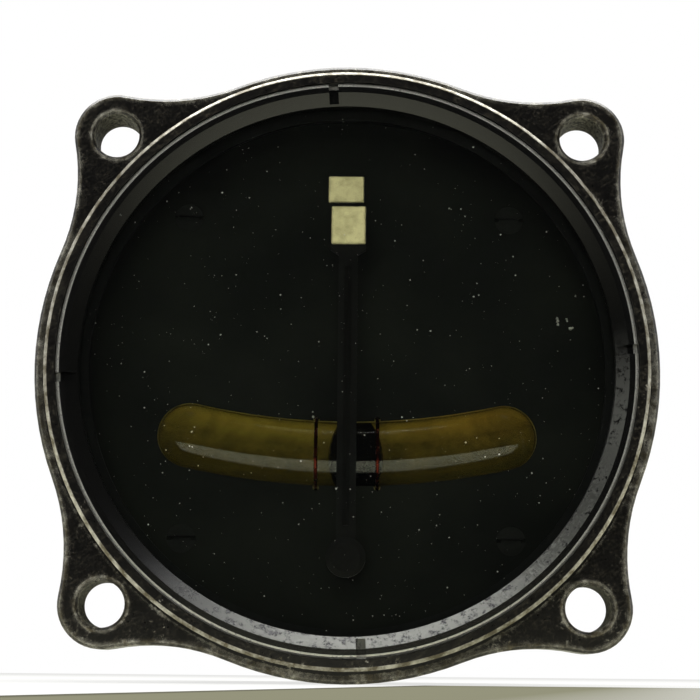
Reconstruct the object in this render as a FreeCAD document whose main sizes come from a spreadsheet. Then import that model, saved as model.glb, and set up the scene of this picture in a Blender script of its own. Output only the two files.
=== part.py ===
import FreeCAD, Part
import Sketcher
import math
import os
import re

# Turn and bank indicator for a round panel hole, driven by a small air-spun gyro.
# Millimetres. X is to the right seen from the front, Y runs from the glass to the
# rear cover, Z is up. The origin is the centre of the four mounting holes in the
# plane of the flange's front face, which is the face that meets the panel.

SIZES = {
    # Flange with four lugs
    "panel_pitch": 62.865,
    "mount_hole_radius": 3.0,
    "flange_rim": 1.6,
    "flange_thickness": 6.4,
    "flange_edge": 0.4,
    "lug_radius": 5.75,
    "lug_waist_radius": 27.0,
    # Case: barrel in front, drum round the dial, can round the gyro
    "barrel_to_hole": 4.7,
    "barrel_stand": 2.65,
    "barrel_edge": 0.4,
    "shoulder_width": 1.65,
    "drum_wall": 2.3,
    "drum_length": 30.0,
    "case_step": 3.0,
    "can_set_in": 2.5,
    "can_wall": 2.4,
    "drum_fillet": 1.2,
    # Screwed ring, glass and gasket
    "barrel_wall": 1.5,
    "thread_gap": 0.05,
    "ring_set_back": 0.25,
    "ring_thickness": 2.7,
    "ring_width": 2.9,
    "ring_bevel_width": 1.55,
    "ring_bevel_depth": 1.3,
    "ring_edge": 0.3,
    "ring_turn": 3.3,
    "notch_count": 4,
    "notch_width": 1.25,
    "notch_reach": 2.6,
    "notch_depth": 1.3,
    "glass_thickness": 2.4,
    "glass_gap": 0.2,
    "gasket_thickness": 0.7,
    "gasket_lip": 0.95,
    # Dial and what stands on it
    "dial_depth": 9.5,
    "dial_thickness": 1.2,
    "dial_gap": 0.4,
    "dial_screw_radius": 0.95,
    "dial_head_radius": 1.95,
    "dial_head_depth": 0.95,
    "slot_in_head": 0.55,
    "index_width": 5.05,
    "index_height": 3.85,
    "index_bottom": 24.5,
    "lume_thickness": 0.4,
    "dial_hole_gap": 0.05,
    "dial_screw_grip": 4.0,
    "stud_grip": 6.0,
    "index_offset": -0.4,
    # Curved liquid tube with its ball
    "tube_curve_radius": 98.0,
    "tube_low_point": -10.6,
    "tube_half_angle": 12.6,
    "tube_radius": 4.45,
    "tube_wall": 0.55,
    "tube_in_dial": 1.5,
    "tube_slot_gap": 0.2,
    "ball_radius": 3.72,
    "ball_rest_angle": 0.7,
    "wire_radius": 0.25,
    "wire_offset": 4.15,
    "wire_gap": 0.06,
    "wire_hole_gap": 0.2,
    "lume_strip_gap": 0.1,
    "lume_strip_wall": 0.3,
    "bracket_wall": 0.9,
    "bracket_flange": 3.2,
    "bracket_sheet": 0.8,
    "bracket_screw_angle": 11.0,
    "bracket_screw_radius": 0.6,
    "bracket_screw_grip": 0.8,
    # Pointer
    "pointer_plane": 4.6,
    "pointer_thickness": 0.55,
    "pointer_pivot_drop": 24.9,
    "pointer_stem_width": 2.6,
    "pointer_head_width": 4.8,
    "pointer_reach": 47.7,
    "pointer_lume_height": 5.45,
    "pointer_band": 0.75,
    "pointer_shoulder": 0.7,
    "ridge_width": 1.0,
    "ridge_height": 0.4,
    "ridge_start": 4.2,
    "ridge_gap": 2.3,
    "hub_radius": 2.65,
    "hub_front": 0.75,
    "hub_length": 3.4,
    "staff_radius": 1.1,
    "staff_collar": 0.9,
    "staff_end": 0.8,
    "running_gap": 0.04,
    "seat_gap": 0.02,
    "hole_overrun": 0.5,
    # Mechanism plate behind the dial
    "bracket_to_plate": 1.25,
    "plate_thickness": 2.5,
    "plate_screw_count": 3,
    "plate_screw_radius": 0.8,
    "plate_head_radius": 1.1,
    "ledge_tap_depth": 5.0,
    "plate_window_radius": 6.0,
    "plate_window_offset": 13.0,
    "plate_window_height": 10.0,
    "plate_head_height": 1.1,
    "pillar_radius": 1.9,
    "pillar_stud_radius": 1.2,
    "pillar_inset": 2.6,
    "rear_space": 6.0,
    "pillar_nut_radius": 2.0,
    "pillar_nut_height": 1.9,
    "rear_plate_thickness": 2.5,
    "bush_wall": 1.3,
    "bush_flange": 0.9,
    "bush_front": 3.0,
    # Fork lever on the pointer's staff
    "fork_clearance": 0.8,
    "fork_thickness": 1.2,
    "fork_hub_radius": 2.6,
    "fork_width": 4.6,
    "fork_gap": 0.15,
    "fork_beyond": 2.0,
    "balance_drop": 4.6,
    "balance_radius": 2.0,
    "balance_height": 1.6,
    # Gimbal
    "gimbal_front_gap": 5.5,
    "gimbal_bar": 3.0,
    "gimbal_height": 10.0,
    "gimbal_tilt": 10.0,
    "gimbal_corner": 3.0,
    "gimbal_pivot_radius": 1.2,
    "gimbal_bearing_radius": 3.2,
    "gimbal_pivot_depth": 2.0,
    "bearing_end": 0.4,
    "pivot_grip_gap": 0.1,
    "arm_reach": 17.5,
    "arm_width": 3.2,
    "arm_thickness": 1.6,
    "arm_clearance": 0.4,
    "pin_beyond": 0.4,
    "drive_pin_radius": 0.8,
    "stop_pin_radius": 0.9,
    "stop_offset": 9.0,
    "stop_gap": 0.15,
    "stop_overlap": 2.0,
    # Rotor
    "rotor_inset": 11.0,
    "rear_pivot_gap": 5.0,
    "rotor_width": 16.0,
    "rotor_gap": 1.5,
    "rotor_rim": 8.0,
    "rotor_web": 7.0,
    "rotor_hub_radius": 5.0,
    "rotor_side_gap": 1.5,
    "shaft_radius": 1.5,
    "bucket_count": 24,
    "bucket_depth": 2.4,
    "bucket_width": 9.0,
    "bucket_span": 3.6,
    "bucket_curve": 2.0,
    "rotor_slope": 1.2,
    "shaft_end_gap": 0.3,
    "rotor_bearing_radius": 3.4,
    "bearing_cap_radius": 3.9,
    "bearing_cap_height": 1.6,
    # Air damper beside the gimbal
    "damper_offset": 20.5,
    "damper_front_gap": 14.7,
    "damper_wall": 0.7,
    "piston_radius": 3.4,
    "piston_gap": 0.08,
    "piston_height": 2.5,
    "piston_drop": 13.0,
    "piston_rod_radius": 0.8,
    "yoke_height": 4.4,
    "yoke_width": 5.6,
    "yoke_thickness": 1.8,
    "yoke_end": 0.7,
    "damper_floor": 1.2,
    "damper_end_gap": 0.6,
    "damper_foot": 1.6,
    "damper_foot_width": 9.0,
    "damper_foot_height": 5.0,
    "foot_screw_radius": 0.6,
    "foot_screw_inset": 1.7,
    "foot_screw_grip": 1.8,
    "link_pin_radius": 0.9,
    "link_arm_height": 2.8,
    "counterweight_radius": 3.0,
    "counterweight_length": 4.5,
    "counterweight_stud": 1.0,
    "counterweight_gap": 0.6,
    "valve_radius": 1.1,
    "valve_length": 4.0,
    # Centring spring above the gimbal
    "spring_wire": 0.22,
    "spring_radius": 1.4,
    "spring_turns": 8,
    "spring_bottom": 5.6,
    "spring_top": 23.4,
    "spring_back": 3.6,
    "spring_seat_gap": 0.05,
    "spigot_radius": 0.9,
    "spigot_length": 2.2,
    "anchor_width": 6.0,
    "anchor_thickness": 2.4,
    # Rear
    "rear_boss_radius": 3.4,
    "rear_boss_inset": 2.0,
    "rear_boss_length": 16.0,
    "rear_boss_relief": 0.5,
    "rear_screw_radius": 1.25,
    "rear_screw_length": 9.0,
    "rear_head_radius": 2.4,
    "rear_head_height": 1.7,
    "rear_gasket_thickness": 0.6,
    "rear_cover_thickness": 2.8,
    "rear_cover_edge": 0.8,
    "jet_inset": 4.0,
    "inlet_boss_radius": 8.2,
    "inlet_boss_height": 4.2,
    "inlet_recess_radius": 6.6,
    "inlet_recess_depth": 3.0,
    "inlet_passage_radius": 2.0,
    "screen_stand": 0.8,
    "screen_pitch": 2.4,
    "screen_thickness": 0.5,
    "screen_hole_radius": 0.55,
    "snap_ring_width": 1.1,
    "snap_ring_height": 0.8,
    "nozzle_radius": 2.4,
    "nozzle_bore_radius": 1.0,
    "nozzle_tip_radius": 1.6,
    "nozzle_tip_gap": 2.6,
    "nozzle_taper": 4.0,
    "nozzle_nut_radius": 4.2,
    "nozzle_nut_height": 2.0,
    "suction_inset": 14.0,
    "suction_boss_radius": 9.0,
    "suction_boss_height": 3.0,
    "suction_hex_flats": 14.0,
    "suction_length": 10.0,
    "suction_bore_radius": 4.3,
    "suction_bore_depth": 9.0,
    "suction_passage_radius": 3.1,
    "suction_spigot_radius": 5.2,
    # Plug over the sensitivity screw
    "plug_depth": 24.0,
    "plug_radius": 3.2,
    "plug_head_radius": 4.2,
    "plug_head_height": 1.0,
    "plug_boss_radius": 5.2,
    "plug_boss_height": 0.5,
    "plug_washer": 0.5,
}

FITS = {
    # Case radii, inwards from the mounting holes
    "lug_centre": "panel_pitch / 2",
    "lug_distance": "lug_centre * sqrt(2)",
    "barrel_radius": "lug_distance - barrel_to_hole",
    "flange_radius": "barrel_radius + flange_rim",
    "ring_bore_radius": "barrel_radius - barrel_wall",
    "ring_opening_radius": "ring_bore_radius - ring_width",
    "gasket_opening_radius": "ring_opening_radius - gasket_lip",
    "chamber_radius": "ring_bore_radius - shoulder_width",
    "drum_radius": "chamber_radius + drum_wall",
    "plug_boss_top": "drum_radius + plug_boss_height",
    "can_radius": "drum_radius - can_set_in",
    "can_bore_radius": "can_radius - can_wall",
    "rear_boss_circle": "can_bore_radius - rear_boss_inset",
    "rotor_radius": "can_bore_radius - rotor_inset",
    "inlet_height": "rotor_radius - jet_inset",
    "suction_drop": "rear_boss_circle - suction_inset",
    "dial_screw_offset": "(can_bore_radius - pillar_inset) / sqrt(2)",
    # Lug outline: the round of the lug is centred on its hole
    "waist_far": "flange_radius + lug_waist_radius",
    "waist_near": "lug_radius + lug_waist_radius",
    "waist_cosine": "(lug_distance ^ 2 + waist_far ^ 2 - waist_near ^ 2) / (2 * lug_distance * waist_far)",
    "waist_turn": "acos(waist_cosine) / 1 deg",
    # Round the tube, and along the pointer
    "tube_bore_radius": "tube_radius - tube_wall",
    "strip_inner": "tube_radius + lume_strip_gap",
    "strip_outer": "strip_inner + lume_strip_wall",
    "bracket_inner": "strip_outer",
    "bracket_outer": "bracket_inner + bracket_wall",
    "ridge_length": "pointer_reach - pointer_lume_height - pointer_band - ridge_start - ridge_gap",
    # Stations along Y
    "ring_front": "ring_set_back - barrel_stand",
    "ring_back": "ring_front + ring_thickness",
    "glass_back": "ring_back + glass_thickness",
    "shoulder": "glass_back + gasket_thickness",
    "dial_back": "dial_depth + dial_thickness",
    "tube_depth": "dial_depth + tube_in_dial",
    "plate_depth": "tube_depth + bracket_outer + bracket_to_plate",
    "plate_back": "plate_depth + plate_thickness",
    "fork_front": "plate_back + fork_clearance",
    "fork_back": "fork_front + fork_thickness",
    "gimbal_front": "plate_back + gimbal_front_gap",
    "gimbal_half": "rotor_radius + rotor_gap + gimbal_bar",
    "rotor_station": "gimbal_front + gimbal_half",
    "gimbal_back": "rotor_station + gimbal_half",
    "rear_plate_front": "gimbal_back + rear_pivot_gap",
    "rear_plate_back": "rear_plate_front + rear_plate_thickness",
    "pillar_length": "rear_plate_front - plate_back",
    "case_depth": "rear_plate_front + rear_space",
    "cover_front": "case_depth + rear_gasket_thickness",
    "cover_back": "cover_front + rear_cover_thickness",
    "damper_station": "plate_back + damper_front_gap",
    "spring_station": "plate_back + spring_back",
    # Radii
    "ledge_screw_circle": "(can_bore_radius + chamber_radius) / 2",
    "drum_middle": "(drum_radius + chamber_radius) / 2",
    "lever_radius": "pointer_pivot_drop - arm_reach",
    "ring_radius": "ring_bore_radius - thread_gap",
    "glass_radius": "ring_bore_radius - glass_gap",
    "dial_radius": "chamber_radius - dial_gap",
    "bush_radius": "staff_radius + bush_wall",
    "wire_bend": "tube_radius + wire_gap + wire_radius",
    "damper_bore": "piston_radius + piston_gap",
    "damper_radius": "damper_bore + damper_wall",
    # Gimbal width across the rotor's shaft
    "arm_inner": "rotor_width / 2 + rotor_side_gap",
    "arm_outer": "arm_inner + gimbal_bar",
    # Heights
    "tube_arc_centre": "tube_low_point + tube_curve_radius",
    "ball_path_radius": "tube_curve_radius + tube_bore_radius - ball_radius",
    "stroke": "damper_offset * sin(gimbal_tilt)",
    "piston_top": "-piston_drop + piston_height",
    "damper_top": "-yoke_height / 2 - stroke - damper_end_gap",
    "damper_floor_top": "-piston_drop - stroke - damper_end_gap",
    "damper_bottom": "damper_floor_top - damper_floor",
    "stop_clear": "gimbal_height / 2 + stop_pin_radius + stop_gap",
    "stop_drop": "(stop_clear + stop_offset * sin(gimbal_tilt)) / cos(gimbal_tilt)",
}

WORD = re.compile(r"[a-z][a-z_]+")
CORNER_COUNT = "4"
CLOSE = 1e-4

doc = FreeCAD.newDocument("TurnAndBank")
pieces = []


def fill_sheets():
    """Sheet of plain driving sizes, and a sheet of what follows from them."""
    sizes = doc.addObject("Spreadsheet::Sheet", "Sizes")
    for row, (alias, number) in enumerate(SIZES.items(), start=1):
        sizes.set(f"A{row}", alias)
        sizes.set(f"B{row}", str(number))
        sizes.setAlias(f"B{row}", alias)
    fits = doc.addObject("Spreadsheet::Sheet", "Fits")
    for row, (alias, formula) in enumerate(FITS.items(), start=1):
        fits.set(f"A{row}", alias)
        fits.set(f"B{row}", "=" + tied(formula, inside_fits=True))
        fits.setAlias(f"B{row}", alias)
    doc.recompute()
    return sizes


def tied(formula, inside_fits=False):
    """Formula with the name of each size or fit turned into its sheet reference."""
    def reference(match):
        word = match.group(0)
        if word in SIZES:
            return "Sizes." + word
        if word in FITS and not inside_fits:
            return "Fits." + word
        return word
    return WORD.sub(reference, str(formula))


sheet = fill_sheets()


def value(formula):
    """Number that a formula of sizes and fits gives."""
    return float(sheet.evalExpression(tied(formula)))


def bind(target, **formulas):
    """Tie properties of an object to formulas."""
    for name, formula in formulas.items():
        target.setExpression(name, tied(formula))
    return target


TURNS = {
    "x": FreeCAD.Rotation(FreeCAD.Vector(0, 1, 0), 90),
    "y": FreeCAD.Rotation(FreeCAD.Vector(1, 0, 0), -90),
    "z": FreeCAD.Rotation(),
}


def place(target, spot, rotation=None):
    """Put an object at a spot given by three formulas."""
    target.Placement = FreeCAD.Placement(FreeCAD.Vector(), rotation or FreeCAD.Rotation())
    for axis, formula in zip("xyz", spot):
        target.setExpression(f"Placement.Base.{axis}", tied(formula))
    return target


def piece(target, label):
    """Name an object as one of the indicator's separate pieces."""
    target.Label = label
    pieces.append(target)
    return target


# Primitive solids and their combinations

def rod(name, radius, length, start, along="y"):
    """Cylinder from a start point along an axis."""
    solid = bind(doc.addObject("Part::Cylinder", name), Radius=radius, Height=length)
    return place(solid, start, TURNS[along])


def cone(name, radius, far_radius, length, start, along="y"):
    """Cone frustum from a start point along an axis."""
    solid = doc.addObject("Part::Cone", name)
    bind(solid, Radius1=radius, Radius2=far_radius, Height=length)
    return place(solid, start, TURNS[along])


def block(name, low, high):
    """Box between two corners."""
    solid = doc.addObject("Part::Box", name)
    lengths = [f"({far}) - ({near})" for near, far in zip(low, high)]
    bind(solid, Length=lengths[0], Width=lengths[1], Height=lengths[2])
    return place(solid, low)


def ball(name, radius, centre):
    """Sphere about a centre."""
    return place(bind(doc.addObject("Part::Sphere", name), Radius=radius), centre)


def fuse(name, solids):
    """Solids joined into one."""
    whole = doc.addObject("Part::MultiFuse", name)
    whole.Shapes = solids
    whole.Refine = True
    return whole


def cut(name, base, tools):
    """A solid less one or more tools."""
    left = doc.addObject("Part::Cut", name)
    left.Base = base
    left.Tool = tools[0] if len(tools) == 1 else fuse(name + "_tools", tools)
    left.Refine = True
    return left


def tube(name, outer, inner, length, start, along="y"):
    """Cylinder with a bore through it."""
    wall = rod(name + "_wall", outer, length, start, along)
    return cut(name, wall, [rod(name + "_bore", inner, length, start, along)])


def group(name, solids):
    """Separate solids of the same kind kept as one set."""
    whole = doc.addObject("Part::Compound", name)
    whole.Links = solids
    return whole


def corners(offset):
    """The four corners of a square, as pairs of formulas."""
    return [(f"{sx}({offset})", f"{sz}({offset})") for sx in ("", "-") for sz in ("", "-")]


# Sketched bodies

def new_body(name, spot=("0", "0", "0"), rotation=None):
    """Body with its own origin at a spot."""
    return place(doc.addObject("PartDesign::Body", name), spot, rotation)


def origin_part(body, role):
    """Origin plane or axis of a body by its role."""
    return next(part for part in body.Origin.OriginFeatures if part.Role == role)


def sketch_in(body, name, plane="XZ_Plane", offset="0"):
    """Empty sketch on an origin plane of the body, moved along the plane's normal."""
    sketch = body.newObject("Sketcher::SketchObject", name)
    sketch.AttachmentSupport = [(origin_part(body, plane), "")]
    sketch.MapMode = "FlatFace"
    sketch.setExpression("AttachmentOffset.Base.z", tied(offset))
    return sketch


def hold(sketch, kind, formula, *where):
    """Add a driving constraint and tie it to a formula."""
    index = sketch.addConstraint(Sketcher.Constraint(kind, *where, value(formula)))
    sketch.setExpression(f"Constraints[{index}]", tied(formula))


def hold_point(sketch, edge, end, x, y):
    """Tie one end or the centre of an edge to a place in the sketch."""
    hold(sketch, "DistanceX", x, -1, 1, edge, end)
    hold(sketch, "DistanceY", y, -1, 1, edge, end)


def spot_of(x, y):
    """Vector in the sketch's plane from two formulas."""
    return FreeCAD.Vector(value(x), value(y), 0)


def polygon(sketch, points):
    """Closed outline of straight edges through points given as formulas."""
    first = sketch.GeometryCount
    count = len(points)
    for index in range(count):
        ends = spot_of(*points[index]), spot_of(*points[(index + 1) % count])
        sketch.addGeometry(Part.LineSegment(*ends), False)
    for index in range(count):
        following = first + (index + 1) % count
        sketch.addConstraint(Sketcher.Constraint("Coincident", first + index, 2, following, 1))
        hold_point(sketch, first + index, 1, *points[index])


def circle(sketch, x, y, radius):
    """Circle about a place in the sketch."""
    edge = sketch.GeometryCount
    normal = FreeCAD.Vector(0, 0, 1)
    sketch.addGeometry(Part.Circle(spot_of(x, y), normal, value(radius)), False)
    hold_point(sketch, edge, 3, x, y)
    hold(sketch, "Radius", radius, edge)


def pad(body, sketch, length, name, backwards=True, both_ways=False):
    """Pad a sketch; on the front plane backwards means towards the rear cover."""
    feature = body.newObject("PartDesign::Pad", name)
    feature.Profile = sketch
    feature.Reversed = backwards
    if both_ways:
        feature.SideType = "Symmetric"
    bind(feature, Length=length)
    return feature


def pocket(body, sketch, length, name, backwards=False, both_ways=False):
    """Cut a sketch out of the body, and check that material went."""
    doc.recompute()
    before = body.Shape.Volume
    feature = body.newObject("PartDesign::Pocket", name)
    feature.Profile = sketch
    feature.Reversed = backwards
    if both_ways:
        feature.SideType = "Symmetric"
    bind(feature, Length=length)
    doc.recompute()
    if body.Shape.Volume >= before:
        raise RuntimeError(f"{name} cuts nothing")
    return feature


def revolve(body, sketch, name, axis="V_Axis", angle="360", both_ways=False):
    """Revolve a sketch about one of its own axes."""
    feature = body.newObject("PartDesign::Revolution", name)
    feature.Profile = sketch
    feature.ReferenceAxis = (sketch, [axis])
    feature.Midplane = both_ways
    bind(feature, Angle=angle)
    return feature


def repeat(body, feature, count, name, axis="Y_Axis"):
    """Copies of a feature spaced evenly round an axis of the body."""
    pattern = body.newObject("PartDesign::PolarPattern", name)
    pattern.Originals = [feature]
    pattern.Axis = (origin_part(body, axis), [""])
    pattern.Angle = 360
    bind(pattern, Occurrences=count)
    body.Tip = pattern
    return pattern


def turned(name, profile, spot=("0", "0", "0"), along="y"):
    """Body turned from (radius, station) points about an axis through a spot."""
    rotations = {
        "x": FreeCAD.Rotation(FreeCAD.Vector(0, 0, 1), -90),
        "y": FreeCAD.Rotation(),
        "z": FreeCAD.Rotation(FreeCAD.Vector(1, 0, 0), 90),
    }
    body = new_body(name, spot, rotations[along])
    sketch = sketch_in(body, name + "_profile", "XY_Plane")
    polygon(sketch, profile)
    revolve(body, sketch, name + "_turning")
    return body


def edges_where(shape, test):
    """Names of the edges of a shape that pass a test."""
    return [f"Edge{index}" for index, edge in enumerate(shape.Edges, start=1) if test(edge)]


def dress(body, kind, name, test, **formulas):
    """Fillet or chamfer the edges of the body that pass a test."""
    doc.recompute()
    base = body.Tip
    chosen = edges_where(body.Shape, test)
    feature = body.newObject(kind, name)
    feature.Base = (base, chosen)
    return bind(feature, **formulas)


def lies_at(edge, station):
    """Whether an edge lies in the plane of a station along Y."""
    box = edge.BoundBox
    return abs(box.YMin - station) < CLOSE and abs(box.YMax - station) < CLOSE


# Case and what closes it in front

def arc(sketch, centre, radius, begin, finish, guide=False):
    """Arc drawn anticlockwise between the directions of two points seen from its centre."""
    angles = [math.atan2(point.y - centre.y, point.x - centre.x) for point in (begin, finish)]
    if angles[1] < angles[0]:
        angles[1] += 2 * math.pi
    whole = Part.Circle(centre, FreeCAD.Vector(0, 0, 1), value(radius))
    sketch.addGeometry(Part.ArcOfCircle(whole, *angles), guide)


def lug_outline(sketch):
    """One lug: a round about the hole, and a hollow waist on each side that meets
    the round and the flange's circle tangentially."""
    origin = FreeCAD.Vector()
    centre = spot_of("lug_centre", "lug_centre")
    low, high = (
        spot_of(f"waist_far * cos(45 {sign} waist_turn)", f"waist_far * sin(45 {sign} waist_turn)")
        for sign in ("-", "+")
    )
    lug_arc, low_arc, high_arc, low_line, high_line, rim_arc = range(6)
    arc(sketch, centre, "lug_radius", low, high)
    arc(sketch, low, "lug_waist_radius", centre, origin)
    arc(sketch, high, "lug_waist_radius", origin, centre)
    share = value("flange_radius / waist_far")
    sketch.addGeometry(Part.LineSegment(origin, low * share), False)
    sketch.addGeometry(Part.LineSegment(high * share, origin), False)
    arc(sketch, origin, "flange_radius", low, high, guide=True)

    begin, finish, middle, at_origin = 1, 2, 3, (-1, 1)
    hold_point(sketch, lug_arc, middle, "lug_centre", "lug_centre")
    sketch.addConstraint(Sketcher.Constraint("Coincident", rim_arc, middle, *at_origin))
    hold(sketch, "Radius", "lug_radius", lug_arc)
    hold(sketch, "Radius", "flange_radius", rim_arc)
    hold(sketch, "Radius", "lug_waist_radius", low_arc)
    hold(sketch, "Radius", "lug_waist_radius", high_arc)
    touching = (
        (lug_arc, begin, low_arc, begin),
        (lug_arc, finish, high_arc, finish),
        (low_arc, finish, rim_arc, begin),
        (high_arc, begin, rim_arc, finish),
    )
    for pair in touching:
        sketch.addConstraint(Sketcher.Constraint("Tangent", *pair))
    closing = (
        (low_line, begin, *at_origin),
        (low_line, finish, low_arc, finish),
        (high_line, begin, high_arc, begin),
        (high_line, finish, *at_origin),
    )
    for pair in closing:
        sketch.addConstraint(Sketcher.Constraint("Coincident", *pair))


def make_case():
    """Casting: barrel, flange with lugs, drum, step and can, open at both ends."""
    body = new_body("case_body")
    section = sketch_in(body, "case_section", "XY_Plane")
    polygon(section, [
        ("ring_bore_radius", "-barrel_stand"),
        ("barrel_radius - barrel_edge", "-barrel_stand"),
        ("barrel_radius", "barrel_edge - barrel_stand"),
        ("barrel_radius", "0"),
        ("flange_radius", "0"),
        ("flange_radius", "flange_thickness"),
        ("drum_radius + drum_fillet", "flange_thickness"),
        ("drum_radius", "flange_thickness + drum_fillet"),
        ("drum_radius", "drum_length"),
        ("can_radius", "drum_length + case_step"),
        ("can_radius", "case_depth"),
        ("can_bore_radius", "case_depth"),
        ("can_bore_radius", "plate_back"),
        ("chamber_radius", "plate_back"),
        ("chamber_radius", "shoulder"),
        ("ring_bore_radius", "shoulder"),
    ])
    revolve(body, section, "case_turning")

    lug = sketch_in(body, "lug_sketch")
    lug_outline(lug)
    lug_pad = pad(body, lug, "flange_thickness", "lug_pad")
    repeat(body, lug_pad, CORNER_COUNT, "lugs")
    # The lug pads run in to the centre, so the bore is cleared again behind them
    bore = sketch_in(body, "bore_sketch")
    circle(bore, "0", "0", "chamber_radius")
    pocket(body, bore, "flange_thickness", "bore_cut")
    seat = sketch_in(body, "seat_sketch")
    circle(seat, "0", "0", "ring_bore_radius")
    pocket(body, seat, "shoulder", "seat_cut")

    hole = sketch_in(body, "mount_hole_sketch")
    circle(hole, "lug_centre", "lug_centre", "mount_hole_radius")
    hole_cut = pocket(body, hole, "flange_thickness", "mount_hole")
    repeat(body, hole_cut, CORNER_COUNT, "mount_holes")

    boss = sketch_in(body, "rear_boss_sketch", offset="-case_depth")
    circle(boss, "rear_boss_circle", "0", "rear_boss_radius")
    boss_pad = pad(body, boss, "rear_boss_length", "rear_boss", backwards=False)
    repeat(body, boss_pad, CORNER_COUNT, "rear_bosses")
    tapping = sketch_in(body, "rear_tapping_sketch", offset="-case_depth")
    circle(tapping, "rear_boss_circle", "0", "rear_screw_radius")
    tap_cut = pocket(body, tapping, "rear_screw_length + hole_overrun", "rear_tapping", backwards=True)
    repeat(body, tap_cut, CORNER_COUNT, "rear_tappings")

    ledge_tap = sketch_in(body, "ledge_tapping_sketch", offset="-plate_back")
    circle(ledge_tap, "0", "ledge_screw_circle", "plate_screw_radius")
    ledge_cut = pocket(body, ledge_tap, "ledge_tap_depth", "ledge_tapping")
    repeat(body, ledge_cut, "plate_screw_count", "ledge_tappings")

    plug_boss = sketch_in(body, "plug_boss_sketch", "XY_Plane", "drum_middle")
    circle(plug_boss, "0", "plug_depth", "plug_boss_radius")
    pad(body, plug_boss, "plug_boss_top - drum_middle", "plug_boss", backwards=False)
    plug_hole = sketch_in(body, "plug_hole_sketch", "XY_Plane", "plug_boss_top")
    circle(plug_hole, "0", "plug_depth", "plug_radius")
    pocket(body, plug_hole, "plug_boss_top - can_bore_radius + can_wall", "plug_hole")

    flange_front = [0.0, value("flange_thickness")]
    barrel = value("barrel_radius")

    def on_flange_edge(edge):
        outside = edge.CenterOfMass.Length > barrel or edge.BoundBox.DiagonalLength > 2 * barrel
        reach = max(math.hypot(vertex.X, vertex.Z) for vertex in edge.Vertexes)
        return outside and reach > barrel + 0.5 and any(lies_at(edge, station) for station in flange_front)

    dress(body, "PartDesign::Chamfer", "flange_edges", on_flange_edge, Size="flange_edge")
    return piece(body, "case_body")


def make_retaining_ring():
    """Screwed ring over the glass: narrow flat, wide inner bevel, key notches."""
    turn = FreeCAD.Rotation(FreeCAD.Vector(0, 1, 0), -value("ring_turn"))
    body = new_body("retaining_ring", rotation=turn)
    section = sketch_in(body, "ring_section", "XY_Plane")
    polygon(section, [
        ("ring_radius - ring_edge", "ring_front"),
        ("ring_radius", "ring_front + ring_edge"),
        ("ring_radius", "ring_back"),
        ("ring_opening_radius", "ring_back"),
        ("ring_opening_radius", "ring_front + ring_bevel_depth"),
        ("ring_opening_radius + ring_bevel_width", "ring_front"),
    ])
    revolve(body, section, "ring_turning")
    notch = sketch_in(body, "notch_sketch", offset="-ring_front")
    inner = "ring_radius - notch_reach"
    outer = "ring_radius + notch_width"
    polygon(notch, [
        ("-notch_width / 2", inner),
        ("notch_width / 2", inner),
        ("notch_width / 2", outer),
        ("-notch_width / 2", outer),
    ])
    notch_cut = pocket(body, notch, "notch_depth", "notch")
    repeat(body, notch_cut, "notch_count", "notches")
    return piece(body, "retaining_ring")


def make_glass():
    """Flat round cover glass, and the gasket that it is pressed against."""
    glass = rod("glass_disc", "glass_radius", "glass_thickness", ("0", "ring_back", "0"))
    piece(glass, "cover_glass")
    gasket = tube("gasket_ring", "glass_radius", "gasket_opening_radius", "gasket_thickness",
                  ("0", "glass_back", "0"))
    piece(gasket, "glass_gasket")


# Dial, its index and screws

def wire_spots():
    """Places where the two marker wires pass the tube, as (x, height) formulas."""
    drop = "tube_arc_centre - sqrt(tube_curve_radius ^ 2 - wire_offset ^ 2)"
    return [("-wire_offset", drop), ("wire_offset", drop)]


def tube_envelope(name, radius, half_angle="tube_half_angle"):
    """Round bar bent along the tube's arc, with ball-shaped ends."""
    body = new_body(name + "_bend", ("0", "tube_depth", "tube_arc_centre"))
    section = sketch_in(body, name + "_section", "YZ_Plane")
    circle(section, "0", "-tube_curve_radius", radius)
    revolve(body, section, name + "_sweep", "H_Axis", f"2 * ({half_angle})", both_ways=True)
    drop = f"tube_arc_centre - tube_curve_radius * cos({half_angle})"
    reach = f"tube_curve_radius * sin({half_angle})"
    ends = [
        ball(f"{name}_end_{index}", radius, (f"{sign}{reach}", "tube_depth", drop))
        for index, sign in enumerate(("-", ""))
    ]
    return fuse(name, [body] + ends)


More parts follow.
